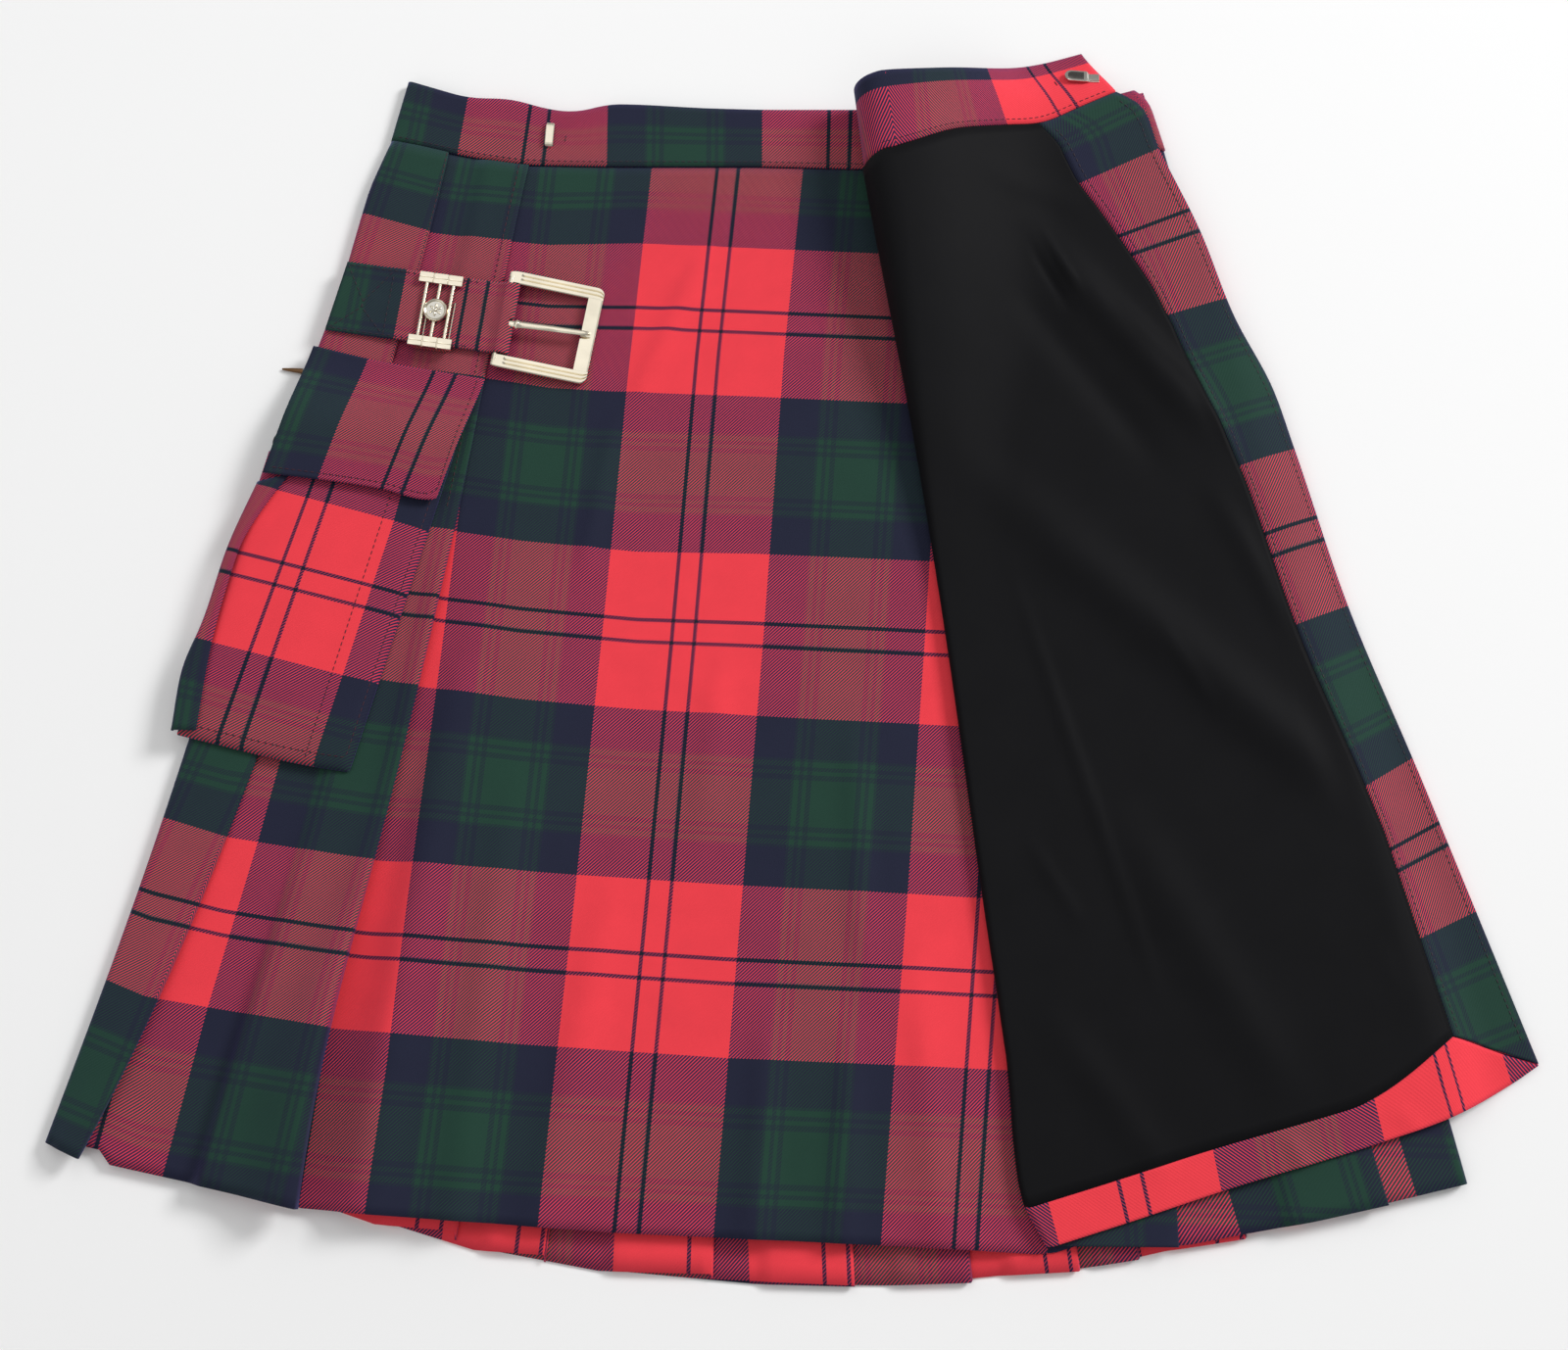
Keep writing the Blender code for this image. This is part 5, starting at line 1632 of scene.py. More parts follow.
@dataclass
class CargoPocket(Workroom):
    """The pocket's body, its side fold and its flap."""

    wall: float = 1.2
    rise: float = 3.6
    bulge: float = 1.3
    round: float = 7.0
    fold_turn: float = 3.2
    fold_sett: float = 0.902
    flap_sett: float = 0.55
    flap_lies_from: float = 0.62
    top: tuple = ((-278, 104), (-180, 104))
    low: tuple = ((-319.5, -48.5), (-246, -65.5), (-230, -68))
    fold_left: tuple = ((-283, 86), (-296, 54), (-309, 9), (-317, -12), (-322, -47))
    fold_right: tuple = ((-266, 90), (-274, 79), (-290.5, 50), (-294.5, 36), (-302.5, 1), (-309, -47.5))
    flap_top: tuple = ((-257, 163.2), (-228, 156), (-164.5, 144.5))
    flap_low: tuple = ((-279.5, 90.5), (-252, 87), (-217, 81.5), (-191.5, 75.6), (-188.2, 75.8), (-186.6, 78.5))

    @property
    def base(self) -> float:
        """Height of the pocket's cloth where it is sewn down."""
        return self.plan.fell_top + self.plan.air + self.wall / 2

    @property
    def face(self) -> float:
        """Height of the pocket's upper face where it is highest."""
        return self.base + self.wall / 2 + self.rise + self.bulge

    def body(self) -> Piece:
        """The raised front panel, turned down at its sides and bottom.

        Returns:
            The cloth.
        """
        strips = []
        checks = Checks(POCKET_COLUMNS, POCKET_ROWS)
        over = (1 - np.cos(np.pi * np.linspace(0, 1, 60))) / 2
        for share in np.sin(np.pi / 2 * np.linspace(0, 1, 60)):
            upper, lower = curve_through(self.top, over), curve_through(self.low, over)
            flat = upper + (lower - upper) * share
            width, height = np.hypot(*(flat[-1] - flat[0])), np.hypot(*(lower[0] - upper[0]))
            side = np.clip(np.minimum(over, 1 - over) * width / self.round, 0, 1)
            end = min((1 - share) * height / self.round, 1)
            lift = np.sqrt(1 - (1 - side) ** 2) * math.sqrt(1 - (1 - end) ** 2)
            swell = self.bulge * np.sin(np.pi * over) * math.sin(math.pi * share)
            strips.append((np.column_stack([flat, self.base + self.rise * lift + swell]), checks.weave(flat)))
        return self.cloth("pocket_front", strips, self.wall)

    def side_fold(self) -> Piece:
        """The bellows fold that laps over the pocket's left edge and rounds the side.

        Returns:
            The cloth.
        """
        strips = []
        checks = Checks(rows=POCKET_ROWS)
        top = self.face + self.plan.air
        turn = self.fold_turn
        for share in np.linspace(0, 1, 40):
            left, right = curve_through(self.fold_left, share)[0], curve_through(self.fold_right, share)[0]
            reach = np.hypot(*(right - left))
            run = (right - left) / reach
            section = arc(turn, top - turn, turn, 190, 90, 10)
            section += [(turn + (reach - turn) * t, top + 0.4 * math.sin(math.pi * t))
                        for t in np.linspace(0, 1, 8)[1:]]
            row = np.array([(*(left + run * x), z) for x, z in section])
            u = self.fold_sett - (reach - np.array([x for x, _ in section])) / SETT
            strips.append((row, np.column_stack([u, checks.down(row)])))
        return self.cloth("pocket_bellows", strips, self.wall)

    def flap(self) -> Piece:
        """The flap, sewn along its top and lying over the pocket's mouth.

        Returns:
            The cloth.
        """
        strips = []
        checks = Checks(FLAP_COLUMNS)
        start = self.base
        over = self.face + 1.5 * self.wall + 3 * self.plan.air
        across = np.linspace(0, 1, 50)
        for share in np.linspace(0, 1, 50):
            upper, lower = curve_through(self.flap_top, across), curve_through(self.flap_low, across)
            flat = upper + (lower - upper) * share
            z = np.full(len(across), start + (over - start) * eased(share / self.flap_lies_from))
            down = np.full(len(flat), self.flap_sett + share * 0.4)
            strips.append((np.column_stack([flat, z]), np.column_stack([checks.across(flat), down])))
        return self.cloth("pocket_flap_cloth", strips, self.wall)


class Solid:
    """A mesh of closed parts, in millimetres in a frame of its own."""

    def __init__(self, name: str, place: Matrix = Matrix.Identity(4)) -> None:
        """Starts an empty mesh.

        Args:
            name: the object's name.
            place: where its frame lies.
        """
        self.name, self.place, self.shape = name, place, bmesh.new()

    def box(self, low: tuple, high: tuple, bevel: float = 0.0) -> None:
        """A box between two corners, with its edges rounded.

        Args:
            low: the lowest corner.
            high: the highest corner.
            bevel: how far edges are cut back.
        """
        size = [(b - a) * MM for a, b in zip(low, high)]
        centre = [(a + b) / 2 * MM for a, b in zip(low, high)]
        matrix = Matrix.Translation(centre) @ Matrix.Diagonal((*size, 1))
        made = bmesh.ops.create_cube(self.shape, size=1.0, matrix=matrix)["verts"]
        if bevel:
            edges = list(dict.fromkeys(edge for vertex in made for edge in vertex.link_edges))
            bmesh.ops.bevel(
                self.shape, geom=edges, offset=bevel * MM, segments=3, profile=0.5, affect="EDGES",
            )

    def rod(self, start: tuple, end: tuple, radius: float, tip: Optional[float] = None, sides: int = 20) -> None:
        """A cylinder or cone between two points.

        Args:
            start: one end.
            end: the other.
            radius: its radius.
            tip: the radius at its other end, if not the same.
            sides: how many sides.
        """
        start, end = Vector(start) * MM, Vector(end) * MM
        turn = (end - start).to_track_quat("Z", "Y").to_matrix().to_4x4()
        bmesh.ops.create_cone(
            self.shape, cap_ends=True, segments=sides, radius1=radius * MM,
            radius2=(radius if tip is None else tip) * MM, depth=(end - start).length,
            matrix=Matrix.Translation((start + end) / 2) @ turn,
        )

    def ball(self, centre: tuple, radii: tuple, turn: float = 0.0) -> None:
        """An ellipsoid, turned about Z by an angle in degrees.

        Args:
            centre: its middle.
            radii: its three radii.
            turn: the angle.
        """
        place = Matrix.Translation(Vector(centre) * MM) @ turned(turn)
        matrix = place @ Matrix.Diagonal((*[r * MM for r in radii], 1))
        bmesh.ops.create_uvsphere(self.shape, u_segments=16, v_segments=10, radius=1.0, matrix=matrix)

    def loft(self, rings: Sequence, closed: bool = False) -> None:
        """A skin through rings of as many points each.

        Args:
            rings: the rings in order.
            closed: whether the last joins the first; if not, both ends are capped.
        """
        made = [[self.shape.verts.new(Vector(point) * MM) for point in ring] for ring in rings]
        pairs = list(zip(made, made[1:]))
        if closed:
            pairs.append((made[-1], made[0]))
        for one, other in pairs:
            for i in range(len(one)):
                j = (i + 1) % len(one)
                self.shape.faces.new((one[i], one[j], other[j], other[i]))
        if not closed:
            self.shape.faces.new(made[0])
            self.shape.faces.new(made[-1])

    def lathe(self, profile: Points, centre: tuple = (0, 0, 0)) -> None:
        """A turned shape from a closed profile of (radius, z) points."""
        x, y, low = centre
        self.loft([[(x + r * cos, y + r * sin, low + z) for r, z in profile] for cos, sin in round_about(40)], True)

    def build(self, material: Finish) -> Piece:
        """Makes the object, smooth where its faces bend little.

        Args:
            material: its finish.

        Returns:
            The object.
        """
        mesh = bpy.data.meshes.new(self.name)
        bmesh.ops.recalc_face_normals(self.shape, faces=self.shape.faces)
        self.shape.to_mesh(mesh)
        self.shape.free()
        mesh.shade_smooth()
        mesh.set_sharp_from_angle(angle=math.radians(28))
        mesh.materials.append(material)
        obj = new_object(self.name, mesh)
        obj.matrix_world = self.place
        return obj


@dataclass
class SideStrap(Workroom):
    """The tartan strap, its keeper, and the buckle with its prong."""

    start: tuple = (-245.5, 191.5)
    end: tuple = (-155.0, 178.0)
    width: float = 39.4
    thick: float = 2.1
    wall: float = 0.98
    lift: float = 8.7
    sewn: float = 22.0
    lifted: float = 34.0
    loop_start: float = 5.0
    bar_radius: float = 1.5
    bar_height: float = 10.9
    loop_radius: float = 3.0
    prong_slot: float = 4.6
    slot_sides: int = 18
    path_steps: int = 40
    middle_sett: float = 0.75
    folds: tuple = (
        Crease(66, 20, 84, 4, 3.0, 0.5), Crease(70, -19, 88, -8, 3.5, 0.45), Crease(8, 6, 30, -4, 4.0, 0.25),
        Crease(76, 19.5, 80, 10, 1.6, 0.7), Crease(82, 19.5, 85, 9, 1.5, 0.6), Crease(80, -20, 84, -12, 1.8, 0.5),
    )
    turn: float = -10.8
    tilt: float = 4.4
    inner: float = 20.3
    arm: float = 7.2
    reach: float = 50.5
    end_bar: float = 8.2
    buckle_thick: float = 3.4
    corner: float = 4.2
    prong_length: float = 47.0
    prong_lift: float = 3.6
    prong_raise: float = 0.6
    keeper_along: float = 55.1
    keeper_shift: float = -1.8
    prong_aside: float = -2.6
    prong_knob: float = 0.45
    prong_knob_at: float = 8.0
    keeper_length: float = 24.0
    block: float = 5.9
    block_thick: float = 3.0
    bar_gap: float = 7.2
    medallion: float = 6.4
    crown_rise: float = 2.6
    petals: int = 6

    def frame(self, along: float = 0.0) -> Matrix:
        """Frame of the strap: X along it, Y across it, its origin some way along.

        Args:
            along: how far along.

        Returns:
            The frame.
        """
        run = Vector(self.end) - Vector(self.start)
        turn = Matrix.Rotation(math.atan2(run.y, run.x), 4, "Z")
        return moved(*self.start) @ turn @ moved(along)

    def buckle_place(self, tilt: float) -> Matrix:
        """Frame of the buckle: its origin on the hinge bar, X along the arms."""
        return moved(*self.end, self.bar_height) @ turned(self.turn) @ turned(tilt, "Y")

    @property
    def keeper_place(self) -> Matrix:
        """Frame of the keeper."""
        return self.frame(self.keeper_along) @ moved(0, self.keeper_shift)

    def strap(self) -> Piece:
        """The double band, looped round the buckle's bar, open where the prong passes.

        Returns:
            The cloth.
        """
        length = math.dist(self.start, self.end)
        low = self.plan.fell_top + self.plan.air + self.wall / 2
        lifted = self.lift + self.wall / 2
        path = [(x, low + (lifted - low) * eased((x - self.sewn) / (self.lifted - self.sewn)))
                for x in np.linspace(0, length - self.loop_start, self.path_steps)]
        rise = self.thick - self.wall
        loop = arc(length, self.bar_height, self.loop_radius - self.wall / 2, 235, 485, 20)
        path = path + loop + [(x, z + rise) for x, z in reversed(path)]
        across = np.concatenate([
            np.linspace(-0.5, (self.prong_aside - self.prong_slot / 2) / self.width, self.slot_sides),
            np.linspace((self.prong_aside + self.prong_slot / 2) / self.width, 0.5, self.slot_sides),
        ])
        frame, strips = self.frame(), []
        checks = Checks(STRAP_COLUMNS)
        upper = len(path) - self.path_steps
        for index, (x, z) in enumerate(path):
            y = across * self.width
            top = index >= upper
            x += 3.6 * max((x - length) / self.loop_radius, 0.0)
            bump = ridge(self.folds, np.full(len(y), x), y) if top else np.zeros(len(y))
            if top:
                bump += 1.0 * np.exp(-(((y - self.prong_aside) / 4.0) ** 2)) * smoothstep((x - length + 9) / 5)
            skew = 2.4 * max(1 - x / 26.0, 0.0)
            row = np.array([frame @ Vector(((x + skew * value / 19) * MM, value * MM, 0)) for value in y]) / MM
            row[:, 2] = z + bump
            strips.append((row, np.column_stack([checks.across(row), self.middle_sett - y / SETT])))
        slot_from = length + 0.55 * self.loop_radius

        def keep(row: int, column: int) -> str:
            """Leaves the cells of the prong's slot out."""
            past = path[row][0] > slot_from or path[row + 1][0] > slot_from
            return "" if column == self.slot_sides - 1 and past else "whole"

        return self.cloth("strap_cloth", strips, self.wall, keep)

    def _arm(self, solid: Solid, sign: float) -> None:
        """One grooved arm of the frame, its far end rounded into the corner.

        Args:
            solid: the mesh that it joins.
            sign: which side of the bar, -1 or 1.
        """
        half = self.buckle_thick / 2
        rings = []
        bend = self.reach - self.corner
        stations = np.concatenate([
            np.linspace(-self.bar_radius, 8, 12), np.linspace(10, bend, 10),
            bend + self.corner * np.sin(np.linspace(0.15, 1, 8) * math.pi / 2),
        ])
        for x in stations:
            grown = math.sqrt(max(1 - max((4.5 - x) / 6.6, 0) ** 2, 0.0))
            groove = 0.8 * eased((x - 4.0) / 3.0)
            outer = self.inner + self.arm - 1.2 * (1 - grown)
            if x > bend:
                outer = self.inner + self.arm - self.corner
                outer += math.sqrt(max(self.corner**2 - (x - bend) ** 2, 0.35**2))
            top = half * (-0.1 + 1.1 * grown)
            width = outer - self.inner
            section = [
                (0, top - 0.4), (0.06, top), (0.28, top), (0.35, top - groove), (0.42, top),
                (0.59, top), (0.66, top - groove), (0.73, top), (0.93, top),
                (1, top - 0.45), (1, 0.5 - half), (0.94, -half), (0.06, -half), (0, 0.5 - half),
            ]
            rings.append([(x, sign * (self.inner + share * width), z) for share, z in section])
        solid.loft(rings)

    def _end_bar(self, solid: Solid) -> None:
        """The flat end bar, with a seat worn across it for the prong's tip.

        Args:
            solid: the mesh that it joins.
        """
        half = self.buckle_thick / 2
        low, high = self.reach - self.end_bar, self.reach
        rings = []
        stations = np.concatenate([
            np.linspace(-self.inner - 0.6, -4, 6), np.linspace(-3, 3, 13), np.linspace(4, self.inner + 0.6, 6),
        ])
        for y in stations:
            top = half - 0.06
            seat = top - 0.75 * math.exp(-((y / 1.7) ** 2))
            section = [
                (low, seat - 0.5), (low + 0.2, seat - 0.12), (low + 0.6, seat), (low + 3.6, seat),
                (low + 5.2, (seat + top) / 2), (low + 6.2, top), (high - 0.7, top), (high - 0.15, top - 0.2),
                (high, top - 0.7), (high, 0.4 - half), (high - 0.4, -half), (low + 0.4, -half), (low, 0.4 - half),
            ]
            rings.append([(x, y, z) for x, z in section])
        solid.loft(rings)

    def buckle(self) -> Piece:
        """The three-sided frame and its round hinge bar.

        Returns:
            The piece.
        """
        solid = Solid("strap_buckle", self.buckle_place(self.tilt))
        for sign in (-1.0, 1.0):
            self._arm(solid, sign)
        self._end_bar(solid)
        half = self.inner + self.arm / 2
        solid.rod((0, -half, 0), (0, half, 0), self.bar_radius)
        return ridden(solid.build(self.finishes.silver), Slot.METAL, "buckle_frame", body=Body.BUCKLE)

    def prong(self) -> Piece:
        """The prong: an eye round the bar, a rounded shaft and a flattened, bent tip.

        Returns:
            The piece.
        """
        solid = Solid("strap_prong", self.buckle_place(self.tilt - self.prong_lift))
        eye = ((-2.0, 1.75), (-2.2, 2.2), (-1.9, 2.55), (0, 2.7), (1.9, 2.55), (2.2, 2.2), (2.0, 1.75))
        rings = [[(r * cos, y + self.prong_aside, r * sin) for y, r in eye] for cos, sin in round_about(28)]
        solid.loft(rings, closed=True)
        shaft = []
        for share in np.concatenate([np.linspace(0, 0.16, 12, endpoint=False), np.linspace(0.16, 1, 24)]):
            x = 2.3 + (self.prong_length - 2.3) * share
            wide = 2.15 - 0.65 * share
            tall = 1.5 - 0.65 * eased((share - 0.45) / 0.2)
            end = math.sqrt(max(1 - max((share - 0.93) / 0.07, 0) ** 2, 0.02))
            end *= 1 + self.prong_knob * math.exp(-(((x - self.prong_knob_at) / 1.1) ** 2))
            z = self.prong_raise + 0.25 * math.sin(math.pi * share)
            aside = self.prong_aside * (1 - share)
            shaft.append([(x, aside + wide * end * cos, z + tall * end * sin) for cos, sin in round_about(14)])
        solid.loft(shaft)
        return ridden(solid.build(self.finishes.silver), Slot.METAL, "buckle_prong", body=Body.PRONG)

    def keeper(self) -> Piece:
        """The open-work slider: segmented end blocks, three bars and a round rosette.

        Returns:
            The piece.
        """
        solid = Solid("strap_slider", self.keeper_place)
        half, side = self.keeper_length / 2, self.width / 2 + self.plan.air
        outer = side + 0.9
        top = self.lift + self.thick + self.plan.air
        bottom = self.plan.fell_top + self.plan.air
        middle = top + self.block_thick / 2
        inset = half - 3.0
        solid.box((-inset, -outer, bottom), (inset, outer, bottom + 0.6))
        for sign in (-1.0, 1.0):
            wall = sorted((sign * side, sign * outer))
            solid.box((-inset, wall[0], bottom), (inset, wall[1], middle))
            block = sorted((sign * (outer - self.block), sign * outer))
            third = self.keeper_length / 3
            for part in range(3):
                low = -half + part * third + 0.12
                high = low + third - 0.24
                solid.box((low, block[0], top), (high, block[0] + 2.8, top + self.block_thick), 0.4)
                solid.box((low, block[0] + 2.7, top), (high, block[1], top + self.block_thick - 0.1), 0.4)
            solid.box((-half + 0.4, block[0] + 0.3, top), (half - 0.4, block[1] - 0.3, top + self.block_thick - 0.5))
        reach = outer - self.block / 3
        for x in (-self.bar_gap, 0.0, self.bar_gap):
            solid.rod((x, -reach, middle), (x, reach, middle), 1.05)
        for x, far in ((-self.bar_gap + 2.6, -2.0), (self.bar_gap + 2.4, 6.0)):
            solid.rod((x, -reach, top + 0.5), (x, far, top + 0.5), 0.45, sides=10)
        crown = middle + self.crown_rise
        radius = self.medallion
        solid.lathe((
            (radius - 1.9, middle - 0.3), (radius - 0.6, middle - 0.3), (radius, middle + 0.4),
            (radius, crown - 0.9), (radius - 0.35, crown - 0.35), (radius - 0.8, crown - 0.2),
            (radius - 1.25, crown - 0.45), (radius - 1.5, crown - 1.1), (radius - 1.9, crown - 1.2),
        ))
        for petal in range(self.petals):
            turn = 60 * petal + 30
            angle = math.radians(turn)
            solid.ball((2.25 * math.cos(angle), 2.25 * math.sin(angle), crown - 0.85), (1.35, 0.62, 0.4), turn)
        solid.ball((0, 0, crown - 0.6), (0.85, 0.85, 0.55))
        return ridden(solid.build(self.finishes.silver), Slot.METAL, "strap_keeper")

    def rosette_field(self) -> Piece:
        """The darker steel field behind the rosette's petals.

        Returns:
            The piece.
        """
        crown = self.lift + self.thick + self.plan.air + self.block_thick / 2 + self.crown_rise
        solid = Solid("slider_rosette_field", self.keeper_place)
        radius, low = self.medallion - 1.7, crown - self.crown_rise
        solid.lathe(((0.01, low), (radius, low), (radius, crown - 1.15), (0.01, crown - 0.95)))
        return ridden(solid.build(self.finishes.steel), Slot.METAL)


@dataclass
class Closures(Workroom):
    """The hook and eye of the waistband, the stud under the flap and the hidden strap's prong."""

    pocket: CargoPocket
    eye_at: tuple = (-132.4, 285.1)
    eye_length: float = 14.5
    eye_width: float = 4.6
    eye_turn: float = 86.0
    hook_at: tuple = (160.0, 318.0)
    hook_length: float = 19.0
    hook_width: float = 7.6
    hook_turn: float = -3.0
    stud_at: tuple = (-269.5, 107.5)
    stud_radius: float = 6.0
    stud_height: float = 2.4
    spare_tip: tuple = (-275.0, 152.8)
    spare_root: tuple = (-263.5, 151.2)

    def eye(self) -> Piece:
        """A flat bar on two feet, its ends pressed through the band.

        Returns:
            The piece.
        """
        half, width = self.eye_length / 2, self.eye_width / 2
        low = self.plan.under_band + self.plan.band_cloth / 2 + self.plan.air
        solid = Solid("band_eye", moved(*self.eye_at) @ turned(self.eye_turn))
        rings = []
        for x, z in ((-half, 0.15), (0.4 - half, 1.2), (1.2 - half, 2.0), (2.2 - half, 2.4), (0, 2.5),
                     (half - 2.2, 2.4), (half - 1.2, 2.0), (half - 0.4, 1.2), (half, 0.15)):
            under = 0.0 if abs(x) > half - 2.1 else 1.6
            side = width * (0.72 if abs(x) > half - 0.2 else 0.9 if abs(x) > half - 0.6 else 1.0)
            crown, edge = low + max(z - 0.1, under), low + max(z - 0.45, under)
            rings.append(flat_ring(x, side, 0.4, crown, edge, low + under))
        solid.loft(rings)
        return ridden(solid.build(self.finishes.silver), Slot.METAL, "waistband_eye")

    def _band_top(self, x: float, y: float) -> float:
        """Height of the opened band's upper face, away from its roll.

        Args:
            x: plan x.
            y: plan y.

        Returns:
            The height.
        """
        plan = self.plan
        away = plan.settle_base + plan.settle_per_radius * plan.roll_at_waist
        level = float(plan.open_height(0.0, np.array([[x, y]]), np.array([away]))[0])
        return level + plan.ply / 2 + plan.band_cloth / 2

    def hook_place(self) -> Matrix:
        """Frame of the hook, on the slope of the band.

        Returns:
            The frame.
        """
        x, y = self.hook_at
        reach = self.hook_width / 2
        rise_x = (self._band_top(x + reach, y) - self._band_top(x - reach, y)) / (2 * reach)
        rise_y = (self._band_top(x, y + reach) - self._band_top(x, y - reach)) / (2 * reach)
        lean = Vector((0, 0, 1)).rotation_difference(Vector((-rise_x, -rise_y, 1))).to_matrix().to_4x4()
        return moved(x, y, self._band_top(x, y) + 0.45) @ lean @ turned(self.hook_turn)

    def hook_painted_reflection(self) -> Piece:
        """A dark plate in the tongue's hollow, inside its bright rim: painted dark reflection and shade.

        Returns:
            The piece.
        """
        solid = Solid("band_hook_painted_reflection", self.hook_place())
        low, high = 1.5 - self.hook_length / 2, 1.4
        rings = []
        for t in np.linspace(0.04, 0.96, 14):
            px = low + (high - low) * t
            width = (self.hook_width / 2 - 1.1) * math.sqrt(max(1 - max(1 - 3.2 * t, 0) ** 2, 0.05))
            z = 2.66 - 0.9 * eased((px + self.hook_length / 2) / 14.0)
            rings.append(flat_ring(px, width, 0.3, z + 0.12, z, z - 0.3))
        solid.loft(rings)
        # The dark finish paints the hollow's reflection and shade.
        return ridden(solid.build(self.finishes.painted_reflection_steel), Slot.METAL)

    def hook(self) -> Piece:
        """A plate whose rounded tongue rises over a bend, on the slope of the band.

        Returns:
            The piece.
        """
        reach = self.hook_width / 2
        solid = Solid("band_hook", self.hook_place())
        half = self.hook_length / 2
        rings = []
        for px in np.concatenate([-half + 4.0 * (1 - np.cos(np.linspace(0.12, 1, 9) * math.pi / 2)),
                                  np.linspace(-4.6, 2.0, 6), np.linspace(2.6, 4.4, 5), np.linspace(5.2, half, 5)]):
            past = px + half
            width = reach * math.sqrt(max(1 - ((4.0 - past) / 4.0) ** 2, 0.02)) if past < 4.0 else reach
            width -= 0.9 * eased((px - 2.0) / 2.6)
            z = 2.6 - 0.9 * eased(past / 14.0) - 1.3 * eased((px - 2.2) / 2.4)
            rings.append(flat_ring(px, width, 0.35, z, z - 0.25, z - 0.75))
        solid.loft(rings)
        solid.box((-3.5, -2.4, 0.0), (half, 2.4, 0.8), 0.2)
        return ridden(solid.build(self.finishes.steel), Slot.METAL, "waistband_hook")

    def stud(self) -> Piece:
        """The press stud's cap, a ring about a low dome.

        Returns:
            The piece.
        """
        z = self.pocket.face + self.pocket.wall + 2 * self.plan.air - self.stud_height
        radius, tall = self.stud_radius, self.stud_height
        solid = Solid("flap_stud")
        solid.lathe((
            (0.01, 0.0), (radius - 0.8, 0.0), (radius, 0.7), (radius, 1.3), (radius - 0.5, tall - 0.35),
            (radius - 1.1, tall - 0.1), (radius - 1.6, tall - 0.5), (radius - 3.0, tall - 0.2), (0.01, tall),
        ), (*self.stud_at, z))
        return ridden(solid.build(self.finishes.lacquer), Slot.STUD, "flap_snap")

    def spare_prong(self) -> Piece:
        """The tip of the hidden strap's prong, drawn to a blunt point.

        Returns:
            The piece.
        """
        solid = Solid("spare_prong")
        rings = []
        for share in np.linspace(0, 1, 12):
            x = self.spare_root[0] + (self.spare_tip[0] - self.spare_root[0]) * share
            y = self.spare_root[1] + (self.spare_tip[1] - self.spare_root[1]) * share
            radius = 1.5 - 1.0 * share**1.4
            z = self.plan.air + radius
            rings.append([(x, y + radius * cos, z + radius * sin) for cos, sin in round_about(14)])
        solid.loft(rings)
        return ridden(solid.build(self.finishes.bronze), Slot.BRONZE, "hidden_strap_prong")


def share_at(cloth: ClothGrid, x: float, start: float) -> float:
    """Share across a cloth's middle row, past a start, where it comes to an x."""
    shares = np.linspace(start, 1, 200)
    return float(np.interp(x, [cloth.at(0.5, share)[0] for share in shares], shares))


@dataclass
class Seam:
    """A row of stitches laid on a cloth along a path of (down, across) shares of its grid."""

    name: str
    cloth: ClothGrid
    path: tuple
    thread: Finish
    stitch: float = 2.3
    gap: float = 1.1
    radius: float = 0.26
    sunk: float = 0.35
    spine: tuple = ((0.0, 0.3), (0.18, 0.9), (0.5, 1.0), (0.82, 0.9), (1.0, 0.3))

    def _line(self) -> Array:
        """Close points along the seam, on the cloth's face.

        Returns:
            The points.
        """
        points = []
        for (d0, a0), (d1, a1) in zip(self.path, self.path[1:]):
            for t in np.linspace(0, 1, 60, endpoint=False):
                points.append(self.cloth.at(d0 + (d1 - d0) * t, a0 + (a1 - a0) * t))
        points.append(self.cloth.at(*self.path[-1]))
        line = np.array(points)
        line[:, 2] += self.cloth.wall / 2 + self.radius * self.sunk
        return line

    def build(self) -> Piece:
        """Makes all stitches as one object.

        Returns:
            The seam.
        """
        line = self._line()
        length = run_length(line)
        solid = Solid(self.name)
        for start in np.arange(0.4, length[-1] - self.stitch, self.stitch + self.gap):
            spine = [np.array([np.interp(start + self.stitch * share, length, line[:, k]) for k in range(3)])
                     for share, _ in self.spine]
            run = Vector(spine[-1] - spine[0]).normalized()
            aside = run.cross(Vector((0, 0, 1))).normalized()
            up = aside.cross(run)
            rings = [[tuple(Vector(point) + (aside * cos + up * sin) * self.radius * size)
                      for cos, sin in round_about(5)] for point, (_, size) in zip(spine, self.spine)]
            solid.loft(rings)
        return ridden(solid.build(self.thread), Slot.TARTAN)


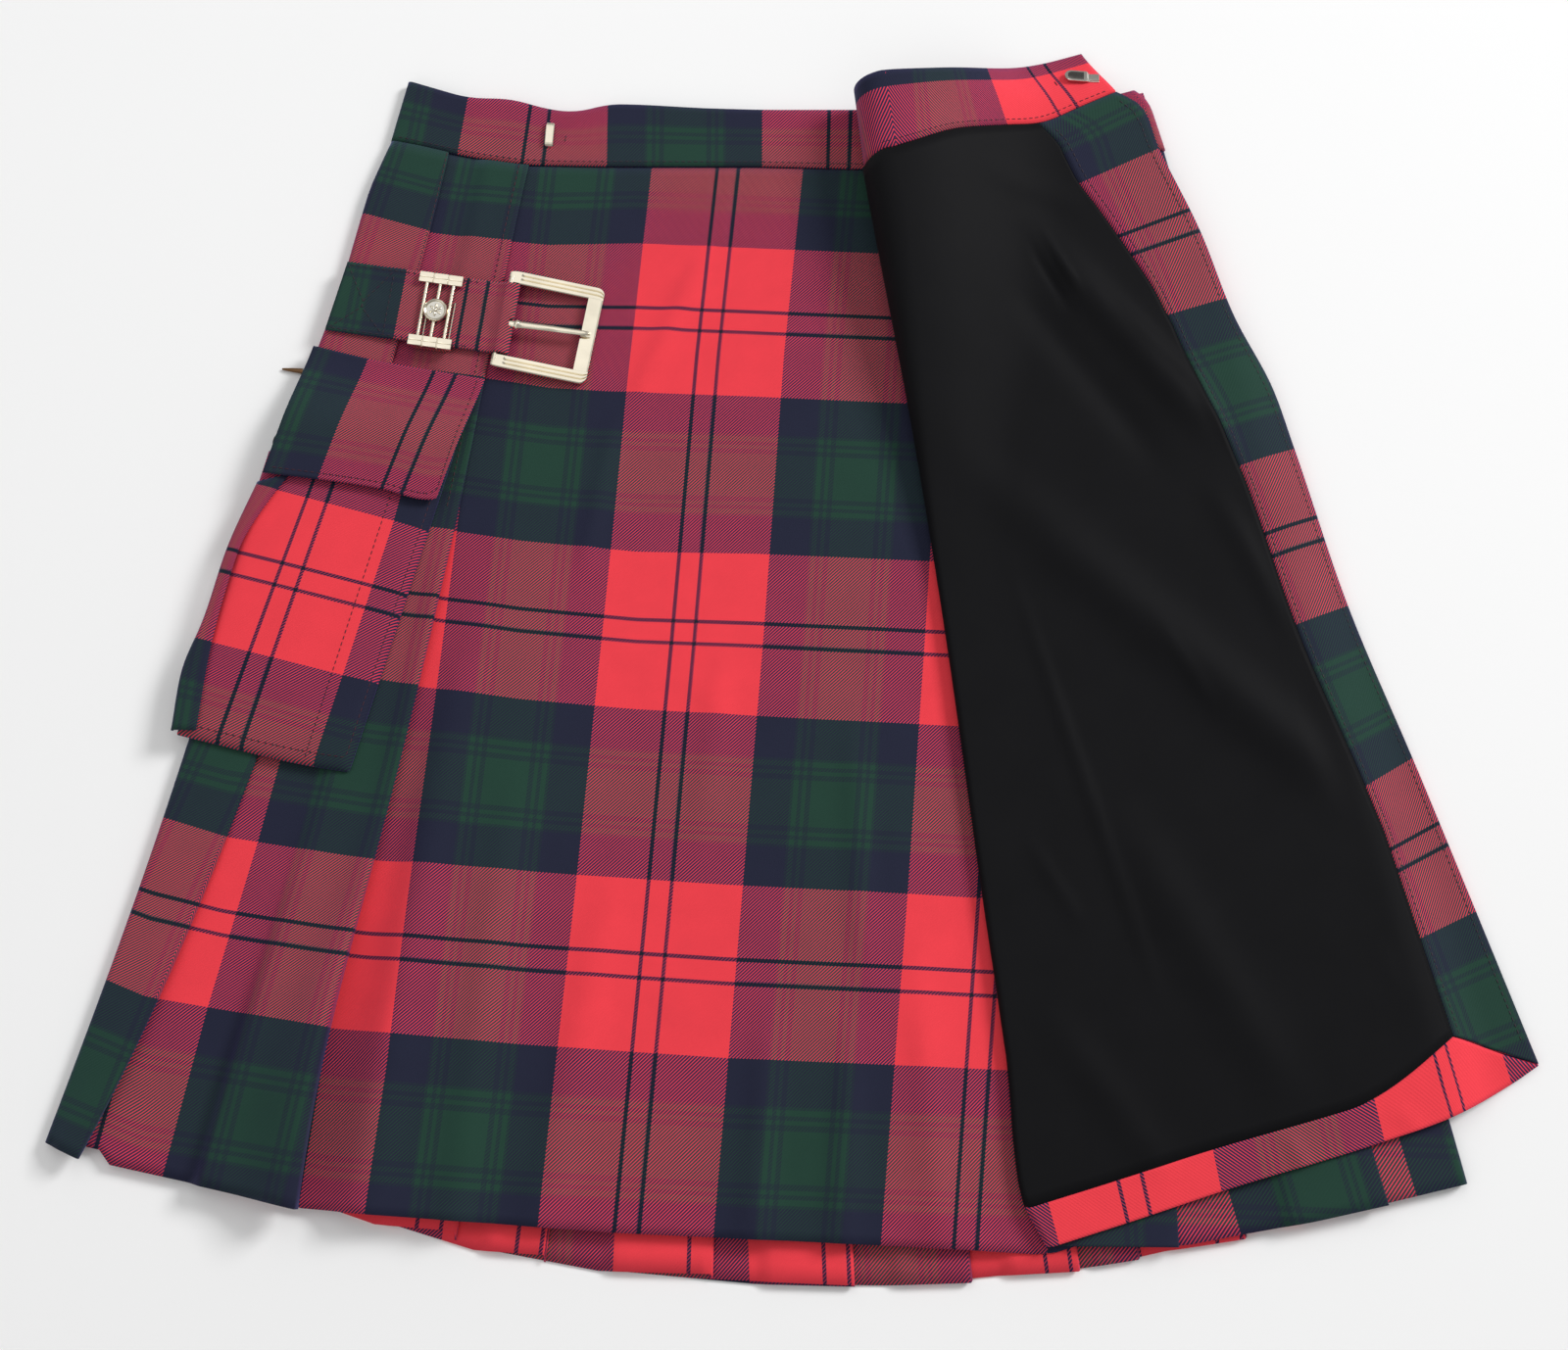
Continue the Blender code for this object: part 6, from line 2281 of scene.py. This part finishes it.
@dataclass
class Studio:
    """Plain pale floor, soft light and a camera at the photo's angle."""

    floor_tone: Pigment = Pigment(247, 247, 247)
    centre: tuple = (-0.004, -0.2519, 1.2164)
    tilt: float = 11.0
    lens: float = 54.0

    def camera(self) -> None:
        """Adds the camera."""
        data = bpy.data.cameras.new("camera")
        data.lens = self.lens
        data.sensor_fit = "HORIZONTAL"
        data.sensor_width = 36.0
        obj = new_object("camera", data)
        obj.location = self.centre
        obj.rotation_euler = (math.radians(self.tilt), 0, 0)
        bpy.context.scene.camera = obj

    def light(self, name: str, place: tuple, size: float, power: float) -> None:
        """Adds a square soft light aimed at the kilt.

        Args:
            name: its name.
            place: where it hangs.
            size: its side.
            power: its power in watts.
        """
        data = bpy.data.lights.new(name, "AREA")
        data.shape = "SQUARE"
        data.size = size
        data.energy = power
        obj = new_object(name, data)
        obj.location = place
        obj.rotation_euler = (-Vector(place)).to_track_quat("-Z", "Y").to_euler()

    def floor(self) -> None:
        """Adds the floor."""
        mesh = bpy.data.meshes.new("floor")
        shape = bmesh.new()
        bmesh.ops.create_grid(shape, x_segments=1, y_segments=1, size=14.0)
        shape.to_mesh(mesh)
        shape.free()
        wire = Wiring("pale_floor")
        wire.dress(Base_Color=self.floor_tone.linear(), Roughness=0.9, Specular_IOR_Level=0.1)
        mesh.materials.append(wire.material)
        obj = new_object("floor", mesh)
        obj.location = (0, 0, -0.0002)

    def build(self) -> None:
        """Sets the studio up."""
        self.camera()
        self.floor()
        self.light("key", (3.6, 2.2, 2.8), 1.5, 182.0)
        self.light("overhead", (-0.35, 0.95, 2.1), 2.2, 11.0)
        self.light("fill", (-1.3, -0.6, 1.9), 2.0, 6.0)
        world = bpy.data.worlds.new("studio")
        world.use_nodes = True
        ground = world.node_tree.nodes["Background"]
        ground.inputs[0].default_value = (1, 1, 1, 1)
        ground.inputs[1].default_value = 0.38
        bpy.context.scene.world = world
        bpy.context.scene.view_settings.view_transform = "Standard"


def sewing(finishes: Finishes, cloths: dict) -> list:
    """Lays every visible row of stitches.

    Args:
        finishes: the kilt's finishes.
        cloths: the cloth grids by name.

    Returns:
        The seams.
    """
    band, over_band, strap = cloths["band_under_apron"], cloths["band_over_apron"], cloths["strap_cloth"]
    edge, left = cloths["kilt_edge_facing"], cloths["kilt_left_pleats"]
    front, flap = cloths["pocket_front"], cloths["pocket_flap_cloth"]
    red, dark = finishes.red_thread, finishes.dark_thread
    hooked, eyed = share_at(over_band, 146.5, 0.5), share_at(band, -123.8, 0.0)
    pleat_one, pleat_two = 19.6 / 64, 49.6 / 64
    seams = (
        Seam("band_edge_stitches", band, ((0.07, 0.12), (0.07, 1.0)), dark),
        Seam("open_band_stitches", over_band, ((0.08, 0.36), (0.08, 0.99)), red),
        Seam("facing_inner_stitches", edge, ((0.01, 0.1), (0.87, 0.1)), dark),
        Seam("facing_outer_stitches", edge, ((0.01, 0.9), (0.95, 0.9)), dark),
        Seam("flap_edge_stitches", flap, ((0.02, 0.962), (0.92, 0.962), (0.955, 0.92), (0.955, 0.03)), red),
        Seam("pocket_edge_stitches", front, ((0.01, 0.663), (0.9, 0.663)), red),
        Seam("pocket_hem_stitches", front, ((0.03, 0.885), (0.8, 0.885), (0.83, 0.86), (0.83, 0.12)), red),
        Seam("strap_end_stitches", strap, ((0.995, 0.03), (0.87, 0.97)), dark),
        Seam("strap_cross_stitches", strap, ((0.995, 0.97), (0.87, 0.03)), dark),
        Seam("strap_bar_stitches", strap, ((0.87, 0.04), (0.87, 0.96)), dark),
        Seam("strap_upper_stitches", strap, ((0.99, 0.96), (0.66, 0.96)), dark),
        Seam("strap_lower_stitches", strap, ((0.99, 0.04), (0.66, 0.04)), dark),
        Seam("first_pleat_stitches", left, ((0.0, pleat_one), (0.2, pleat_one)), red),
        Seam("second_pleat_stitches", left, ((0.0, pleat_two), (0.35, pleat_two)), red),
        Seam("hook_tack_stitches", over_band, ((0.5, hooked), (0.62, hooked)), red, stitch=3.4, radius=0.34),
        Seam("eye_tack_stitches", band, ((0.4, eyed), (0.68, eyed)), red, stitch=4.2),
    )
    return [seam.build() for seam in seams]


def main() -> None:
    """Builds the kilt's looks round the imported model."""
    logging.basicConfig(level=logging.INFO, format="%(name)s: %(message)s")
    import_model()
    Studio().build()
    finishes, cloths = Finishes(), {}
    room = (Layout(), finishes, cloths)
    pleats, apron, band = PleatedCloth(*room), OverApron(*room), Waistband(*room)
    pocket, strap = CargoPocket(*room), SideStrap(*room)
    closures = Closures(*room, pocket)
    builds = (
        pleats.back, pleats.left, pleats.right, UnderApron(*room).build, apron.tartan, apron.edge_facing,
        apron.hem_facing, band.back, band.under, band.over, pocket.body, pocket.side_fold, pocket.flap,
        strap.strap, apron.lining, strap.buckle, strap.prong, strap.keeper, closures.eye, closures.hook,
        strap.rosette_field, closures.hook_painted_reflection, closures.stud, closures.spare_prong,
    )
    for piece in [build() for build in builds] + sewing(finishes, cloths):
        LOG.info("%s: %d faces", piece.name, len(piece.data.polygons))


if __name__ == "__main__":
    main()
